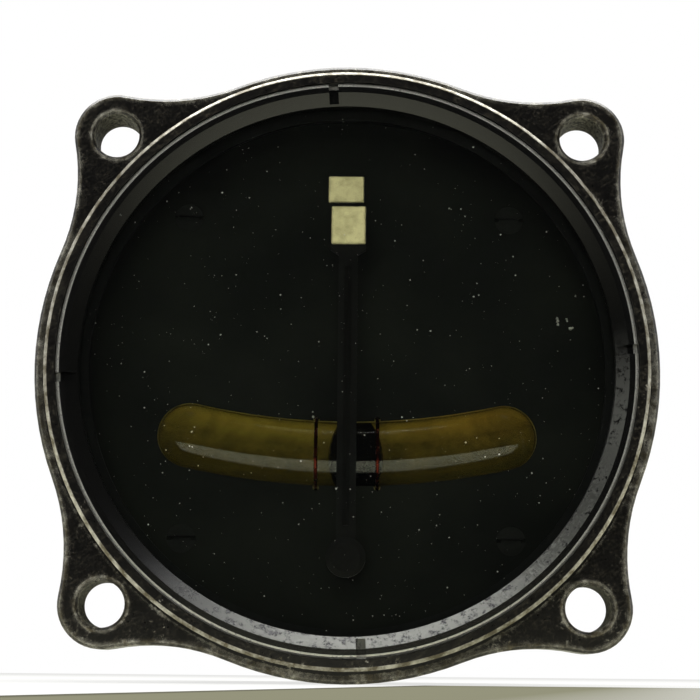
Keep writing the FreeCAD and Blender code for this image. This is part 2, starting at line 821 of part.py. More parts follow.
def make_dial():
    """Round dial with a curved opening for the tube and holes for what crosses it."""
    disc = rod("dial_disc", "dial_radius", "dial_thickness", ("0", "dial_depth", "0"))
    depth = "dial_thickness + 2 * hole_overrun"
    front = "dial_depth - hole_overrun"
    tools = [tube_envelope("dial_opening", "tube_radius + tube_slot_gap")]
    tools.append(rod("dial_staff_hole", "staff_radius + dial_gap", depth,
                     ("0", front, "-pointer_pivot_drop")))
    for index, (x, z) in enumerate(corners("dial_screw_offset")):
        tools.append(rod(f"dial_hole_{index}", "dial_screw_radius + dial_hole_gap", depth, (x, front, z)))
        tools.append(cone(f"dial_sink_{index}", "dial_head_radius + dial_hole_gap",
                          "dial_screw_radius + dial_hole_gap", "dial_head_depth",
                          (x, "dial_depth", z)))
    for side, (x, z) in enumerate(wire_spots()):
        for end, sign in enumerate(("+", "-")):
            spot = (x, front, f"{z} {sign} (wire_bend - wire_hole_gap / 2)")
            tools.append(rod(f"dial_wire_hole_{side}_{end}", "wire_radius + wire_hole_gap", depth, spot))
    for index, (x, z) in enumerate(bracket_screw_spots()):
        tools.append(rod(f"dial_tapping_{index}", "bracket_screw_radius", "bracket_screw_grip + hole_overrun",
                         (x, "dial_back - bracket_screw_grip", z)))
    piece(cut("dial", disc, tools), "dial_plate")

    index = block("index_block",
                  ("index_offset - index_width / 2", "dial_depth - lume_thickness", "index_bottom"),
                  ("index_offset + index_width / 2", "dial_depth", "index_bottom + index_height"))
    piece(index, "top_index")


def slotted_head(name, head, slot_width, slot_depth, across, face, x, z):
    """Cut a straight driver slot in the front or rear face of a head."""
    half = f"({slot_width}) / 2"
    near = f"({face}) - ({slot_depth})"
    slot = block(name + "_slot", (f"{x} - ({across})", near, f"{z} - {half}"),
                 (f"{x} + ({across})", f"({face}) + ({slot_depth})", f"{z} + {half}"))
    return cut(name, head, [slot])


def make_dial_screws():
    """Four countersunk screws, each threaded into its pillar behind the dial."""
    screws = []
    for index, (x, z) in enumerate(corners("dial_screw_offset")):
        head = cone(f"dial_screw_head_{index}", "dial_head_radius", "dial_screw_radius",
                    "dial_head_depth", (x, "dial_depth", z))
        shank = rod(f"dial_screw_shank_{index}", "dial_screw_radius",
                    "dial_thickness + dial_screw_grip", (x, "dial_depth", z))
        blank = fuse(f"dial_screw_blank_{index}", [head, shank])
        screws.append(slotted_head(f"dial_screw_{index}", blank, "slot_in_head",
                                   "slot_in_head", "dial_head_radius", "dial_depth", x, z))
    piece(group("dial_screw_set", screws), "dial_screws")


def make_dial_pillars():
    """Four pillars between the dial and the mechanism plate, with rear studs."""
    pillars = []
    for index, (x, z) in enumerate(corners("dial_screw_offset")):
        pillar = rod(f"dial_pillar_body_{index}", "pillar_radius", "plate_depth - dial_back",
                     (x, "dial_back", z))
        stud = rod(f"dial_pillar_stud_{index}", "pillar_stud_radius", "plate_thickness + stud_grip",
                   (x, "plate_depth", z))
        tapping = rod(f"dial_pillar_tap_{index}", "dial_screw_radius + seat_gap",
                      "dial_screw_grip + hole_overrun", (x, "dial_back", z))
        blank = fuse(f"dial_pillar_blank_{index}", [pillar, stud])
        pillars.append(cut(f"dial_pillar_{index}", blank, [tapping]))
    piece(group("dial_pillar_set", pillars), "dial_pillars")


# Curved tube, ball, wires and what holds the tube

def make_tube():
    """Sealed bent glass tube with a hollow for liquid and ball."""
    outer = tube_envelope("tube_outside", "tube_radius")
    inner = tube_envelope("tube_inside", "tube_bore_radius")
    piece(cut("tube", outer, [inner]), "inclinometer_tube")


def make_ball():
    """Ball that rolls along the lower wall of the tube."""
    x = "ball_path_radius * sin(ball_rest_angle)"
    z = "tube_arc_centre - ball_path_radius * cos(ball_rest_angle)"
    piece(ball("ball", "ball_radius", (x, "tube_depth", z)), "inclinometer_ball")


def make_wires():
    """Two hoops of wire round the front half of the tube, ending in the dial's holes."""
    wires = []
    for side, (x, z) in enumerate(wire_spots()):
        body = new_body(f"wire_bend_{side}", (x, "tube_depth", z))
        section = sketch_in(body, f"wire_section_{side}", "XZ_Plane")
        circle(section, "0", "wire_bend", "wire_radius")
        revolve(body, section, f"wire_hoop_{side}", "H_Axis", "180")
        wires.append(body)
    piece(group("wire_set", wires), "marker_wires")


def flat_envelope(name, half_width, front, thickness):
    """Flat sheet along the tube's arc, with round ends."""
    body = new_body(name + "_bend", ("0", front, "tube_arc_centre"))
    section = sketch_in(body, name + "_section", "YZ_Plane")
    near = f"-tube_curve_radius + ({half_width})"
    far = f"-tube_curve_radius - ({half_width})"
    polygon(section, [("0", near), (thickness, near), (thickness, far), ("0", far)])
    revolve(body, section, name + "_sweep", "H_Axis", "2 * tube_half_angle", both_ways=True)
    drop = "tube_arc_centre - tube_curve_radius * cos(tube_half_angle)"
    ends = [
        rod(f"{name}_end_{index}", half_width, thickness,
            (f"{sign}tube_curve_radius * sin(tube_half_angle)", front, drop))
        for index, sign in enumerate(("-", ""))
    ]
    return fuse(name, [body] + ends)


def trough(name, inner, outer):
    """Half pipe behind the tube that follows its arc and closes round its ends."""
    shell = cut(name + "_shell", tube_envelope(name + "_outside", outer),
                [tube_envelope(name + "_inside", inner)])
    reach = "2 * tube_curve_radius"
    half = block(name + "_half", (f"-{reach}", "tube_depth", f"-{reach}"),
                 (reach, f"tube_depth + {reach}", reach))
    rear = doc.addObject("Part::Common", name)
    rear.Base = shell
    rear.Tool = half
    return rear


def make_tube_backing():
    """Luminous strip in a half pipe behind the tube, seen through the liquid."""
    piece(trough("lume_trough", "strip_inner", "strip_outer"), "tube_backing")


def bracket_screw_spots():
    """Places of the bracket's four screws, beyond the trough on both sides."""
    reach = "bracket_outer + bracket_flange / 2"
    spots = []
    for side in ("-", ""):
        for across in ("+", "-"):
            far = f"(tube_curve_radius {across} ({reach}))"
            x = f"{side}{far} * sin(bracket_screw_angle)"
            z = f"tube_arc_centre - {far} * cos(bracket_screw_angle)"
            spots.append((x, z))
    return spots


def make_tube_bracket():
    """Pressed bracket: a trough round the backing, and a flange against the dial."""
    channel = trough("bracket_trough", "bracket_inner", "bracket_outer")
    sheet_blank = flat_envelope("bracket_sheet_blank", "bracket_outer + bracket_flange",
                                "dial_back", "bracket_sheet")
    tools = [flat_envelope("bracket_window", "(bracket_inner + bracket_outer) / 2",
                           "dial_back", "bracket_sheet")]
    for index, (x, z) in enumerate(bracket_screw_spots()):
        tools.append(rod(f"bracket_hole_{index}", "bracket_screw_radius + seat_gap",
                         "bracket_sheet + 2 * hole_overrun", (x, "dial_back - hole_overrun", z)))
    flange = cut("bracket_flange_sheet", sheet_blank, tools)
    piece(fuse("bracket", [channel, flange]), "tube_bracket")


def make_bracket_screws():
    """Small screws that draw the bracket against the back of the dial."""
    screws = []
    for index, (x, z) in enumerate(bracket_screw_spots()):
        head = rod(f"bracket_screw_head_{index}", "2 * bracket_screw_radius", "bracket_screw_radius",
                   (x, "dial_back + bracket_sheet", z))
        shank = rod(f"bracket_screw_shank_{index}", "bracket_screw_radius - seat_gap",
                    "bracket_sheet + bracket_screw_grip", (x, "dial_back - bracket_screw_grip", z))
        screws.append(fuse(f"bracket_screw_{index}", [head, shank]))
    piece(group("bracket_screw_set", screws), "bracket_screws")


# Pointer, its staff and fork lever

def make_pointer():
    """Flat pointer with a square head, a narrow stem and a raised ridge."""
    body = new_body("turn_pointer", ("0", "pointer_plane", "-pointer_pivot_drop"))
    outline = sketch_in(body, "pointer_outline")
    half_head = "pointer_head_width / 2"
    half_stem = "pointer_stem_width / 2"
    neck = "pointer_reach - pointer_lume_height - pointer_band"
    root = "hub_radius / 2"
    polygon(outline, [
        (f"-({half_head})", "pointer_reach"),
        (f"-({half_head})", neck),
        (f"-({half_stem})", f"{neck} - pointer_shoulder"),
        (f"-({half_stem})", root),
        (half_stem, root),
        (half_stem, f"{neck} - pointer_shoulder"),
        (half_head, neck),
        (half_head, "pointer_reach"),
    ])
    pad(body, outline, "pointer_thickness", "pointer_blade")
    eye = sketch_in(body, "pointer_eye_sketch")
    circle(eye, "0", "0", "hub_radius")
    pad(body, eye, "pointer_thickness", "pointer_eye")
    ridge = sketch_in(body, "ridge_section", "XY_Plane", "ridge_start")
    polygon(ridge, [("-ridge_width / 2", "0"), ("0", "-ridge_height"), ("ridge_width / 2", "0")])
    pad(body, ridge, "ridge_length", "ridge", backwards=False)
    bore = sketch_in(body, "pointer_bore_sketch", offset="hole_overrun")
    circle(bore, "0", "0", "staff_radius + seat_gap")
    pocket(body, bore, "pointer_thickness + 2 * hole_overrun", "pointer_bore")
    piece(body, "turn_pointer")

    lume = block("pointer_lume_block",
                 (f"-({half_head})", "pointer_plane - lume_thickness",
                  "pointer_reach - pointer_pivot_drop - pointer_lume_height"),
                 (half_head, "pointer_plane", "pointer_reach - pointer_pivot_drop"))
    piece(lume, "pointer_lume")


def make_pointer_hub():
    """Domed cap that clamps the pointer to its staff."""
    dome = turned("pointer_hub_body", [
        ("0", "-hub_front"),
        ("hub_radius - hub_front", "-hub_front"),
        ("hub_radius", "-hub_front / 2"),
        ("hub_radius", "0"),
        ("0", "0"),
    ], ("0", "pointer_plane", "-pointer_pivot_drop"))
    piece(dome, "pointer_hub")


def make_pointer_staff():
    """Staff from the pointer to just behind the fork lever, with a collar."""
    staff = turned("pointer_staff_body", [
        ("0", "pointer_plane"),
        ("staff_radius", "pointer_plane"),
        ("staff_radius", "pointer_plane + pointer_thickness"),
        ("staff_radius + staff_collar", "pointer_plane + pointer_thickness"),
        ("staff_radius + staff_collar", "pointer_plane + pointer_thickness + hub_length"),
        ("staff_radius", "pointer_plane + pointer_thickness + hub_length"),
        ("staff_radius", "fork_back + staff_end"),
        ("0", "fork_back + staff_end"),
    ], ("0", "0", "-pointer_pivot_drop"))
    piece(staff, "pointer_staff")


def make_pointer_bush():
    """Flanged bush in the mechanism plate that the staff turns in."""
    bush = turned("pointer_bush_body", [
        ("staff_radius + running_gap", "plate_depth - bush_front"),
        ("bush_radius", "plate_depth - bush_front"),
        ("bush_radius", "plate_depth - bush_flange"),
        ("bush_radius + bush_flange", "plate_depth - bush_flange"),
        ("bush_radius + bush_flange", "plate_depth"),
        ("bush_radius", "plate_depth"),
        ("bush_radius", "plate_back"),
        ("staff_radius + running_gap", "plate_back"),
    ], ("0", "0", "-pointer_pivot_drop"))
    piece(bush, "pointer_bush")


def make_fork_lever():
    """Lever on the staff: an open fork above, a balance weight below."""
    body = new_body("fork_lever", ("0", "fork_front", "-pointer_pivot_drop"))
    fork = sketch_in(body, "fork_outline")
    top = "lever_radius + fork_beyond"
    half_slot = "(drive_pin_radius + fork_gap)"
    floor = "lever_radius - drive_pin_radius - 2 * fork_gap"
    polygon(fork, [
        ("-fork_width / 2", "0"),
        ("fork_width / 2", "0"),
        ("fork_width / 2", top),
        (half_slot, top),
        (half_slot, floor),
        (f"-{half_slot}", floor),
        (f"-{half_slot}", top),
        ("-fork_width / 2", top),
    ])
    pad(body, fork, "fork_thickness", "fork_blade")
    hub = sketch_in(body, "fork_hub_sketch")
    circle(hub, "0", "0", "fork_hub_radius")
    pad(body, hub, "fork_thickness", "fork_hub")
    tail = sketch_in(body, "fork_tail_sketch")
    polygon(tail, [
        ("-staff_radius", "0"),
        ("staff_radius", "0"),
        ("staff_radius", "-balance_drop"),
        ("-staff_radius", "-balance_drop"),
    ])
    pad(body, tail, "fork_thickness", "fork_tail")
    bore = sketch_in(body, "fork_bore_sketch", offset="hole_overrun")
    circle(bore, "0", "0", "staff_radius + seat_gap")
    pocket(body, bore, "fork_thickness + 2 * hole_overrun", "fork_bore")
    piece(body, "fork_lever")

    weight = rod("balance_disc", "balance_radius", "balance_height",
                 ("0", "fork_back", "-pointer_pivot_drop - balance_drop"))
    piece(weight, "pointer_balance_weight")


# Frame that carries the gyro: front plate, pillars and rear plate

def ring_spots(count, circle_radius, start_angle):
    """Places spaced evenly on a circle, as (x, height) formulas."""
    step = f"360 / {count}"
    return [
        (f"{circle_radius} * sin({start_angle} + {index} * {step})",
         f"{circle_radius} * cos({start_angle} + {index} * {step})")
        for index in range(int(value(count)))
    ]


def make_mechanism_plate():
    """Round plate on the case's ledge, with holes for all that it carries."""
    disc = rod("front_plate_disc", "dial_radius", "plate_thickness", ("0", "plate_depth", "0"))
    front = "plate_depth - hole_overrun"
    depth = "plate_thickness + 2 * hole_overrun"
    tools = [
        rod("plate_bearing_hole", "gimbal_bearing_radius + seat_gap", depth, ("0", front, "0")),
        rod("plate_bush_hole", "bush_radius + seat_gap", depth, ("0", front, "-pointer_pivot_drop")),
    ]
    for index, (x, z) in enumerate(corners("dial_screw_offset")):
        tools.append(rod(f"plate_pillar_hole_{index}", "pillar_stud_radius + seat_gap", depth, (x, front, z)))
    for index, (x, z) in enumerate(ring_spots("plate_screw_count", "ledge_screw_circle", "0")):
        tools.append(rod(f"plate_screw_hole_{index}", "plate_screw_radius + seat_gap", depth, (x, front, z)))
    for index, (x, z) in enumerate(foot_screw_spots()):
        tools.append(rod(f"plate_foot_hole_{index}", "foot_screw_radius", "foot_screw_grip + hole_overrun",
                         (x, "plate_back - foot_screw_grip", z)))
    for index, sign in enumerate(("-", "")):
        tools.append(rod(f"plate_window_{index}", "plate_window_radius", depth,
                         (f"{sign}plate_window_offset", front, "plate_window_height")))
    piece(cut("front_plate", disc, tools), "mechanism_plate")


def make_plate_screws():
    """Screws that hold the mechanism plate to the ledge in the case."""
    screws = []
    for index, (x, z) in enumerate(ring_spots("plate_screw_count", "ledge_screw_circle", "0")):
        head_front = "plate_depth - plate_head_height"
        head = rod(f"plate_screw_head_{index}", "plate_head_radius", "plate_head_height", (x, head_front, z))
        shank = rod(f"plate_screw_shank_{index}", "plate_screw_radius - seat_gap",
                    "plate_thickness + ledge_tap_depth - hole_overrun", (x, "plate_depth", z))
        blank = fuse(f"plate_screw_blank_{index}", [head, shank])
        screws.append(slotted_head(f"plate_screw_{index}", blank, "slot_in_head", "slot_in_head",
                                   "plate_head_radius", head_front, x, z))
    piece(group("plate_screw_set", screws), "plate_screws")


def make_frame_pillars():
    """Four long pillars between the plates, screwed on the dial pillars' studs."""
    pillars = []
    for index, (x, z) in enumerate(corners("dial_screw_offset")):
        shaft = rod(f"frame_pillar_shaft_{index}", "pillar_radius", "pillar_length", (x, "plate_back", z))
        stud = rod(f"frame_pillar_stud_{index}", "pillar_stud_radius",
                   "rear_plate_thickness + pillar_nut_height + hole_overrun", (x, "rear_plate_front", z))
        tapping = rod(f"frame_pillar_tap_{index}", "pillar_stud_radius + seat_gap",
                      "stud_grip + hole_overrun", (x, "plate_back", z))
        blank = fuse(f"frame_pillar_blank_{index}", [shaft, stud])
        pillars.append(cut(f"frame_pillar_{index}", blank, [tapping]))
    piece(group("frame_pillar_set", pillars), "frame_pillars")


def hex_nut(name, flats_radius, bore, height, spot):
    """Hexagonal nut: a prism with a bore, built about its own axis along Y."""
    prism = doc.addObject("Part::Prism", name + "_prism")
    prism.Polygon = 6
    bind(prism, Circumradius=f"({flats_radius}) / cos(30)", Height=height)
    place(prism, spot, TURNS["y"])
    return cut(name, prism, [rod(name + "_hole", bore, height, spot)])


def make_pillar_nuts():
    """Nuts that clamp the rear plate on the pillars."""
    nuts = [
        hex_nut(f"pillar_nut_{index}", "pillar_nut_radius", "pillar_stud_radius + seat_gap",
                "pillar_nut_height", (x, "rear_plate_back", z))
        for index, (x, z) in enumerate(corners("dial_screw_offset"))
    ]
    piece(group("pillar_nut_set", nuts), "pillar_nuts")


def boss_spots():
    """Places of the four screw bosses inside the rear of the case."""
    return [("rear_boss_circle", "0"), ("-rear_boss_circle", "0"),
            ("0", "rear_boss_circle"), ("0", "-rear_boss_circle")]


def make_rear_plate():
    """Rear plate of the frame, scalloped to pass the bosses in the case."""
    disc = rod("rear_plate_disc", "can_bore_radius - dial_gap", "rear_plate_thickness",
               ("0", "rear_plate_front", "0"))
    front = "rear_plate_front - hole_overrun"
    depth = "rear_plate_thickness + 2 * hole_overrun"
    tools = [
        rod("rear_bearing_hole", "gimbal_bearing_radius + seat_gap", depth, ("0", front, "0")),
        rod("rear_nozzle_hole", "nozzle_radius + seat_gap", depth, ("0", front, "inlet_height")),
        rod("rear_air_hole", "suction_passage_radius", depth, ("0", front, "-suction_drop")),
    ]
    for index, (x, z) in enumerate(boss_spots()):
        tools.append(rod(f"rear_scallop_{index}", "rear_boss_radius + rear_boss_relief", depth,
                         (x, front, z)))
    for index, (x, z) in enumerate(corners("dial_screw_offset")):
        tools.append(rod(f"rear_pillar_hole_{index}", "pillar_stud_radius + seat_gap", depth, (x, front, z)))
    for index, sign in enumerate(("-", "")):
        tools.append(rod(f"rear_stop_hole_{index}", "stop_pin_radius + seat_gap", depth,
                         (f"{sign}stop_offset", front, "-stop_drop")))
    piece(cut("rear_plate", disc, tools), "rear_frame_plate")


def make_gimbal_bearings():
    """Bushes in both plates; each is closed behind the gimbal's pivot."""
    for side, mouth, end, inwards in (("front", "plate_back", "plate_depth", "+"),
                                      ("rear", "rear_plate_front", "rear_plate_back", "-")):
        floor = f"{end} {inwards} bearing_end"
        bush = turned(f"gimbal_bearing_{side}_body", [
            ("gimbal_pivot_radius + running_gap", mouth),
            ("gimbal_bearing_radius", mouth),
            ("gimbal_bearing_radius", end),
            ("0", end),
            ("0", floor),
            ("gimbal_pivot_radius + running_gap", floor),
        ])
        piece(bush, f"gimbal_bearing_{side}")


def make_gimbal_stops():
    """Two pins in the rear plate that the gimbal's rear bar meets at full tilt."""
    pins = [
        rod(f"stop_pin_{index}", "stop_pin_radius",
            "rear_plate_back - gimbal_back + stop_overlap",
            (f"{sign}stop_offset", "gimbal_back - stop_overlap", "-stop_drop"))
        for index, sign in enumerate(("-", ""))
    ]
    piece(group("stop_pin_set", pins), "gimbal_stop_pins")


# Gimbal with what it carries

def make_gimbal():
    """Flat rectangular gimbal round the rotor, with bored sides and ends."""
    body = new_body("gimbal_frame", ("0", "rotor_station", "0"))
    outline = sketch_in(body, "gimbal_outline", "XY_Plane")
    inner_y = "rotor_radius + rotor_gap"
    for half_x, half_y in (("arm_outer", "gimbal_half"), ("arm_inner", inner_y)):
        polygon(outline, [
            (f"-({half_x})", f"-({half_y})"),
            (half_x, f"-({half_y})"),
            (half_x, half_y),
            (f"-({half_x})", half_y),
        ])
    pad(body, outline, "gimbal_height", "gimbal_ring", both_ways=True)

    pivot_hole = sketch_in(body, "gimbal_pivot_hole_sketch")
    circle(pivot_hole, "0", "0", "gimbal_pivot_radius + seat_gap")
    pocket(body, pivot_hole, "2 * gimbal_half + 2 * hole_overrun", "gimbal_pivot_holes", both_ways=True)
    stud_hole = sketch_in(body, "counterweight_hole_sketch", "YZ_Plane")
    circle(stud_hole, "damper_station - rotor_station", "0", "counterweight_stud + seat_gap")
    pocket(body, stud_hole, "arm_outer + hole_overrun", "counterweight_hole")
    shaft_hole = sketch_in(body, "rotor_bearing_hole_sketch", "YZ_Plane")
    circle(shaft_hole, "0", "0", "rotor_bearing_radius + seat_gap")
    pocket(body, shaft_hole, "2 * arm_outer + 2 * hole_overrun", "rotor_bearing_holes", both_ways=True)

    corner_x = value("arm_outer")
    corner_y = value("gimbal_half")
    station = value("rotor_station")

    def is_corner(edge):
        middle = edge.CenterOfMass - FreeCAD.Vector(0, station, 0)
        upright = edge.BoundBox.ZLength > value("gimbal_height") / 2
        at_side = abs(abs(middle.x) - corner_x) < CLOSE
        at_end = abs(abs(middle.y) - corner_y) < CLOSE
        return upright and at_side and at_end

    dress(body, "PartDesign::Fillet", "gimbal_corners", is_corner, Radius="gimbal_corner")
    piece(body, "gimbal_frame")


def make_gimbal_pivots():
    """Front and rear pivots pressed in the gimbal's end bars."""
    grip = "gimbal_bar - pivot_grip_gap"
    front = rod("front_pivot", "gimbal_pivot_radius", f"gimbal_front_gap + gimbal_pivot_depth + {grip}",
                ("0", "plate_back - gimbal_pivot_depth", "0"))
    rear = rod("rear_pivot", "gimbal_pivot_radius",
               f"rear_plate_front + gimbal_pivot_depth - gimbal_back + {grip}",
               ("0", f"gimbal_back - ({grip})", "0"))
    piece(group("pivot_set", [front, rear]), "gimbal_pivots")


def make_drive_arm():
    """Arm down from the gimbal's front bar, with the pin that works the fork."""
    back = "gimbal_front"
    front = "gimbal_front - arm_thickness"
    top = "-gimbal_pivot_radius - arm_clearance"
    plate = block("drive_arm_plate", ("-arm_width / 2", front, "-arm_reach - arm_width / 2"),
                  ("arm_width / 2", back, top))
    pin = rod("drive_pin", "drive_pin_radius", f"({front}) - fork_front + pin_beyond",
              ("0", "fork_front - pin_beyond", "-arm_reach"))
    piece(fuse("drive_arm_whole", [plate, pin]), "drive_arm")


def make_spring_post():
    """Bracket on the gimbal's front bar with the spigot for the spring's lower end."""
    foot = block("spring_post_foot",
                 ("-anchor_width / 2", "spring_station - spring_radius", "spring_bottom - anchor_thickness"),
                 ("anchor_width / 2", "gimbal_front", "spring_bottom - spring_seat_gap"))
    spigot = rod("spring_post_spigot", "spigot_radius", "spigot_length",
                 ("0", "spring_station", "spring_bottom - spring_seat_gap"), "z")
    piece(fuse("spring_post_whole", [foot, spigot]), "spring_post")


def make_link_arm():
    """Arm on the gimbal's side with the pin that drives the damper's yoke."""
    half = "link_arm_height / 2"
    front = "damper_station - yoke_thickness / 2 - arm_clearance - gimbal_bar"
    back = "damper_station - yoke_thickness / 2 - arm_clearance"
    bar = block("link_arm_bar", ("arm_outer", front, f"-{half}"),
                (f"damper_offset + {half}", back, half))
    pin = rod("link_pin", "link_pin_radius", "yoke_thickness + arm_clearance + pin_beyond",
              ("damper_offset", back, "0"))
    piece(fuse("link_arm_whole", [bar, pin]), "link_arm")


def make_counterweight():
    """Weight on a stud in the gimbal's other side, to balance link arm and piston."""
    stud = rod("counterweight_stud_rod", "counterweight_stud",
               "counterweight_length + counterweight_gap + gimbal_bar",
               ("-arm_outer - counterweight_gap - counterweight_length", "damper_station", "0"), "x")
    weight = rod("counterweight_disc", "counterweight_radius", "counterweight_length",
                 ("-arm_outer - counterweight_gap - counterweight_length", "damper_station", "0"), "x")
    collar = rod("counterweight_collar", "2 * counterweight_stud", "counterweight_gap",
                 ("-arm_outer - counterweight_gap", "damper_station", "0"), "x")
    piece(fuse("counterweight_whole", [stud, weight, collar]), "gimbal_counterweight")


def make_rotor_bearings():
    """Bushes for the rotor's shaft in the gimbal's sides, and their end caps."""
    bushes = []
    caps = []
    for index, start in enumerate(("-arm_outer", "arm_inner")):
        bushes.append(tube(f"rotor_bush_{index}", "rotor_bearing_radius", "shaft_radius + running_gap",
                           "gimbal_bar", (start, "rotor_station", "0"), "x"))
    for index, start in enumerate(("-arm_outer - bearing_cap_height", "arm_outer")):
        caps.append(rod(f"rotor_cap_{index}", "bearing_cap_radius", "bearing_cap_height",
                        (start, "rotor_station", "0"), "x"))
    piece(group("rotor_bush_set", bushes), "rotor_bearings")
    piece(group("rotor_cap_set", caps), "bearing_caps")


# Rotor

def make_rotor():
    """Heavy rim on a thin web, with buckets milled in the rim for the air jet."""
    body = new_body("rotor_wheel", ("0", "rotor_station", "0"))
    section = sketch_in(body, "rotor_section", "XY_Plane")
    half = "rotor_width / 2"
    web = "rotor_web / 2"
    rim = "rotor_radius - rotor_rim"
    side = [
        ("rotor_radius", half),
        (rim, half),
        (f"{rim} - rotor_slope", web),
        ("rotor_hub_radius + rotor_slope", web),
        ("rotor_hub_radius", half),
        ("shaft_radius + seat_gap", half),
    ]
    profile = [(station, radius) for radius, station in side]
    profile += [(f"-({station})", radius) for radius, station in reversed(side)]
    polygon(section, profile)
    revolve(body, section, "rotor_turning", "H_Axis")

    bucket = sketch_in(body, "bucket_sketch", "YZ_Plane")
    floor = "rotor_radius - bucket_depth"
    bend = f"{floor} + bucket_curve"
    top = "rotor_radius + hole_overrun"
    centre = spot_of("0", bend)
    arc(bucket, centre, "bucket_curve", spot_of("0", floor), spot_of("bucket_curve", bend))
    bucket.addGeometry(Part.LineSegment(spot_of("bucket_curve", bend), spot_of("bucket_span", top)), False)
    bucket.addGeometry(Part.LineSegment(spot_of("bucket_span", top), spot_of("0", top)), False)
    bucket.addGeometry(Part.LineSegment(spot_of("0", top), spot_of("0", floor)), False)
    for edge in range(4):
        bucket.addConstraint(Sketcher.Constraint("Coincident", edge, 2, (edge + 1) % 4, 1))
    hold_point(bucket, 0, 1, "0", floor)
    hold_point(bucket, 0, 2, "bucket_curve", bend)
    hold(bucket, "Radius", "bucket_curve", 0)
    hold_point(bucket, 2, 1, "bucket_span", top)
    hold_point(bucket, 3, 1, "0", top)
    scoop = pocket(body, bucket, "bucket_width", "bucket", both_ways=True)
    repeat(body, scoop, "bucket_count", "buckets", "X_Axis")
    piece(body, "rotor_wheel")


def make_rotor_shaft():
    """Shaft with its ends inside the gimbal's bushes."""
    reach = "arm_outer - shaft_end_gap"
    shaft = rod("rotor_shaft_rod", "shaft_radius", f"2 * ({reach})",
                (f"-({reach})", "rotor_station", "0"), "x")
    piece(shaft, "rotor_shaft")


# Air damper

def make_damper_cylinder():
    """Open cylinder on a foot that is screwed to the mechanism plate."""
    height = "damper_top - damper_bottom"
    barrel = rod("damper_barrel", "damper_radius", height,
                 ("damper_offset", "damper_station", "damper_bottom"), "z")
    web = block("damper_web", ("damper_offset - damper_wall", "plate_back", "damper_bottom"),
                ("damper_offset + damper_wall", "damper_station", "damper_bottom + damper_foot_height"))
    foot = block("damper_foot_plate",
                 ("damper_offset - damper_foot_width / 2", "plate_back", "damper_bottom"),
                 ("damper_offset + damper_foot_width / 2", "plate_back + damper_foot",
                  "damper_bottom + damper_foot_height"))
    blank = fuse("damper_blank", [barrel, web, foot])
    bore = rod("damper_hollow", "damper_bore", "damper_top - damper_floor_top + hole_overrun",
               ("damper_offset", "damper_station", "damper_floor_top"), "z")
    valve_hole = rod("damper_valve_hole", "valve_radius + seat_gap", "damper_radius + hole_overrun",
                     ("damper_offset", "damper_station", "damper_floor_top + valve_radius"), "x")
    holes = [
        rod(f"damper_foot_hole_{index}", "foot_screw_radius", "damper_foot + 2 * hole_overrun",
            (x, "plate_back - hole_overrun", z))
        for index, (x, z) in enumerate(foot_screw_spots())
    ]
    piece(cut("damper", blank, [bore, valve_hole] + holes), "damper_cylinder")


def foot_screw_spots():
    """Places of the two screws in the damper's foot."""
    height = "damper_bottom + damper_foot_height / 2"
    inset = "(damper_foot_width / 2 - foot_screw_inset)"
    return [(f"damper_offset {sign} {inset}", height) for sign in ("-", "+")]


def make_damper_screws():
    """Two screws that hold the damper's foot to the mechanism plate."""
    screws = []
    for index, (x, z) in enumerate(foot_screw_spots()):
        head = rod(f"foot_screw_head_{index}", "2 * foot_screw_radius", "foot_screw_radius",
                   (x, "plate_back + damper_foot", z))
        shank = rod(f"foot_screw_shank_{index}", "foot_screw_radius - seat_gap",
                    "damper_foot + foot_screw_grip", (x, "plate_back - foot_screw_grip", z))
        screws.append(fuse(f"foot_screw_{index}", [head, shank]))
    piece(group("foot_screw_set", screws), "damper_screws")


def make_damper_valve():
    """Small slotted bleed screw in the side of the cylinder's lower end."""
    x = "damper_offset + damper_bore + hole_overrun / 2"
    body = rod("valve_body", "valve_radius", "valve_length",
               (x, "damper_station", "damper_floor_top + valve_radius"), "x")
    tip = f"{x} + valve_length"
    slot = block("valve_slot",
                 (f"{tip} - slot_in_head", "damper_station - valve_radius",
                  "damper_floor_top + valve_radius - slot_in_head / 2"),
                 (f"{tip} + slot_in_head", "damper_station + valve_radius",
                  "damper_floor_top + valve_radius + slot_in_head / 2"))
    piece(cut("valve", body, [slot]), "damper_valve_screw")


def make_damper_piston():
    """Piston, rod and slotted yoke that the pin on the gimbal's arm slides in."""
    disc = rod("piston_disc", "piston_radius", "piston_height",
               ("damper_offset", "damper_station", "-piston_drop"), "z")
    stem = rod("piston_stem", "piston_rod_radius", "piston_drop - piston_height",
               ("damper_offset", "damper_station", "piston_top"), "z")
    half = "yoke_thickness / 2"
    plate = block("yoke_plate",
                  ("damper_offset - yoke_width / 2", f"damper_station - {half}", "-yoke_height / 2"),
                  ("damper_offset + yoke_width / 2", f"damper_station + {half}", "yoke_height / 2"))
    slot = block("yoke_slot",
                 ("damper_offset - yoke_width / 2 + yoke_end", f"damper_station - {half} - hole_overrun",
                  "-link_pin_radius - fork_gap"),
                 ("damper_offset + yoke_width / 2 - yoke_end", f"damper_station + {half} + hole_overrun",
                  "link_pin_radius + fork_gap"))
    piece(cut("piston", fuse("piston_blank", [disc, stem, plate]), [slot]), "damper_piston")


# Centring spring

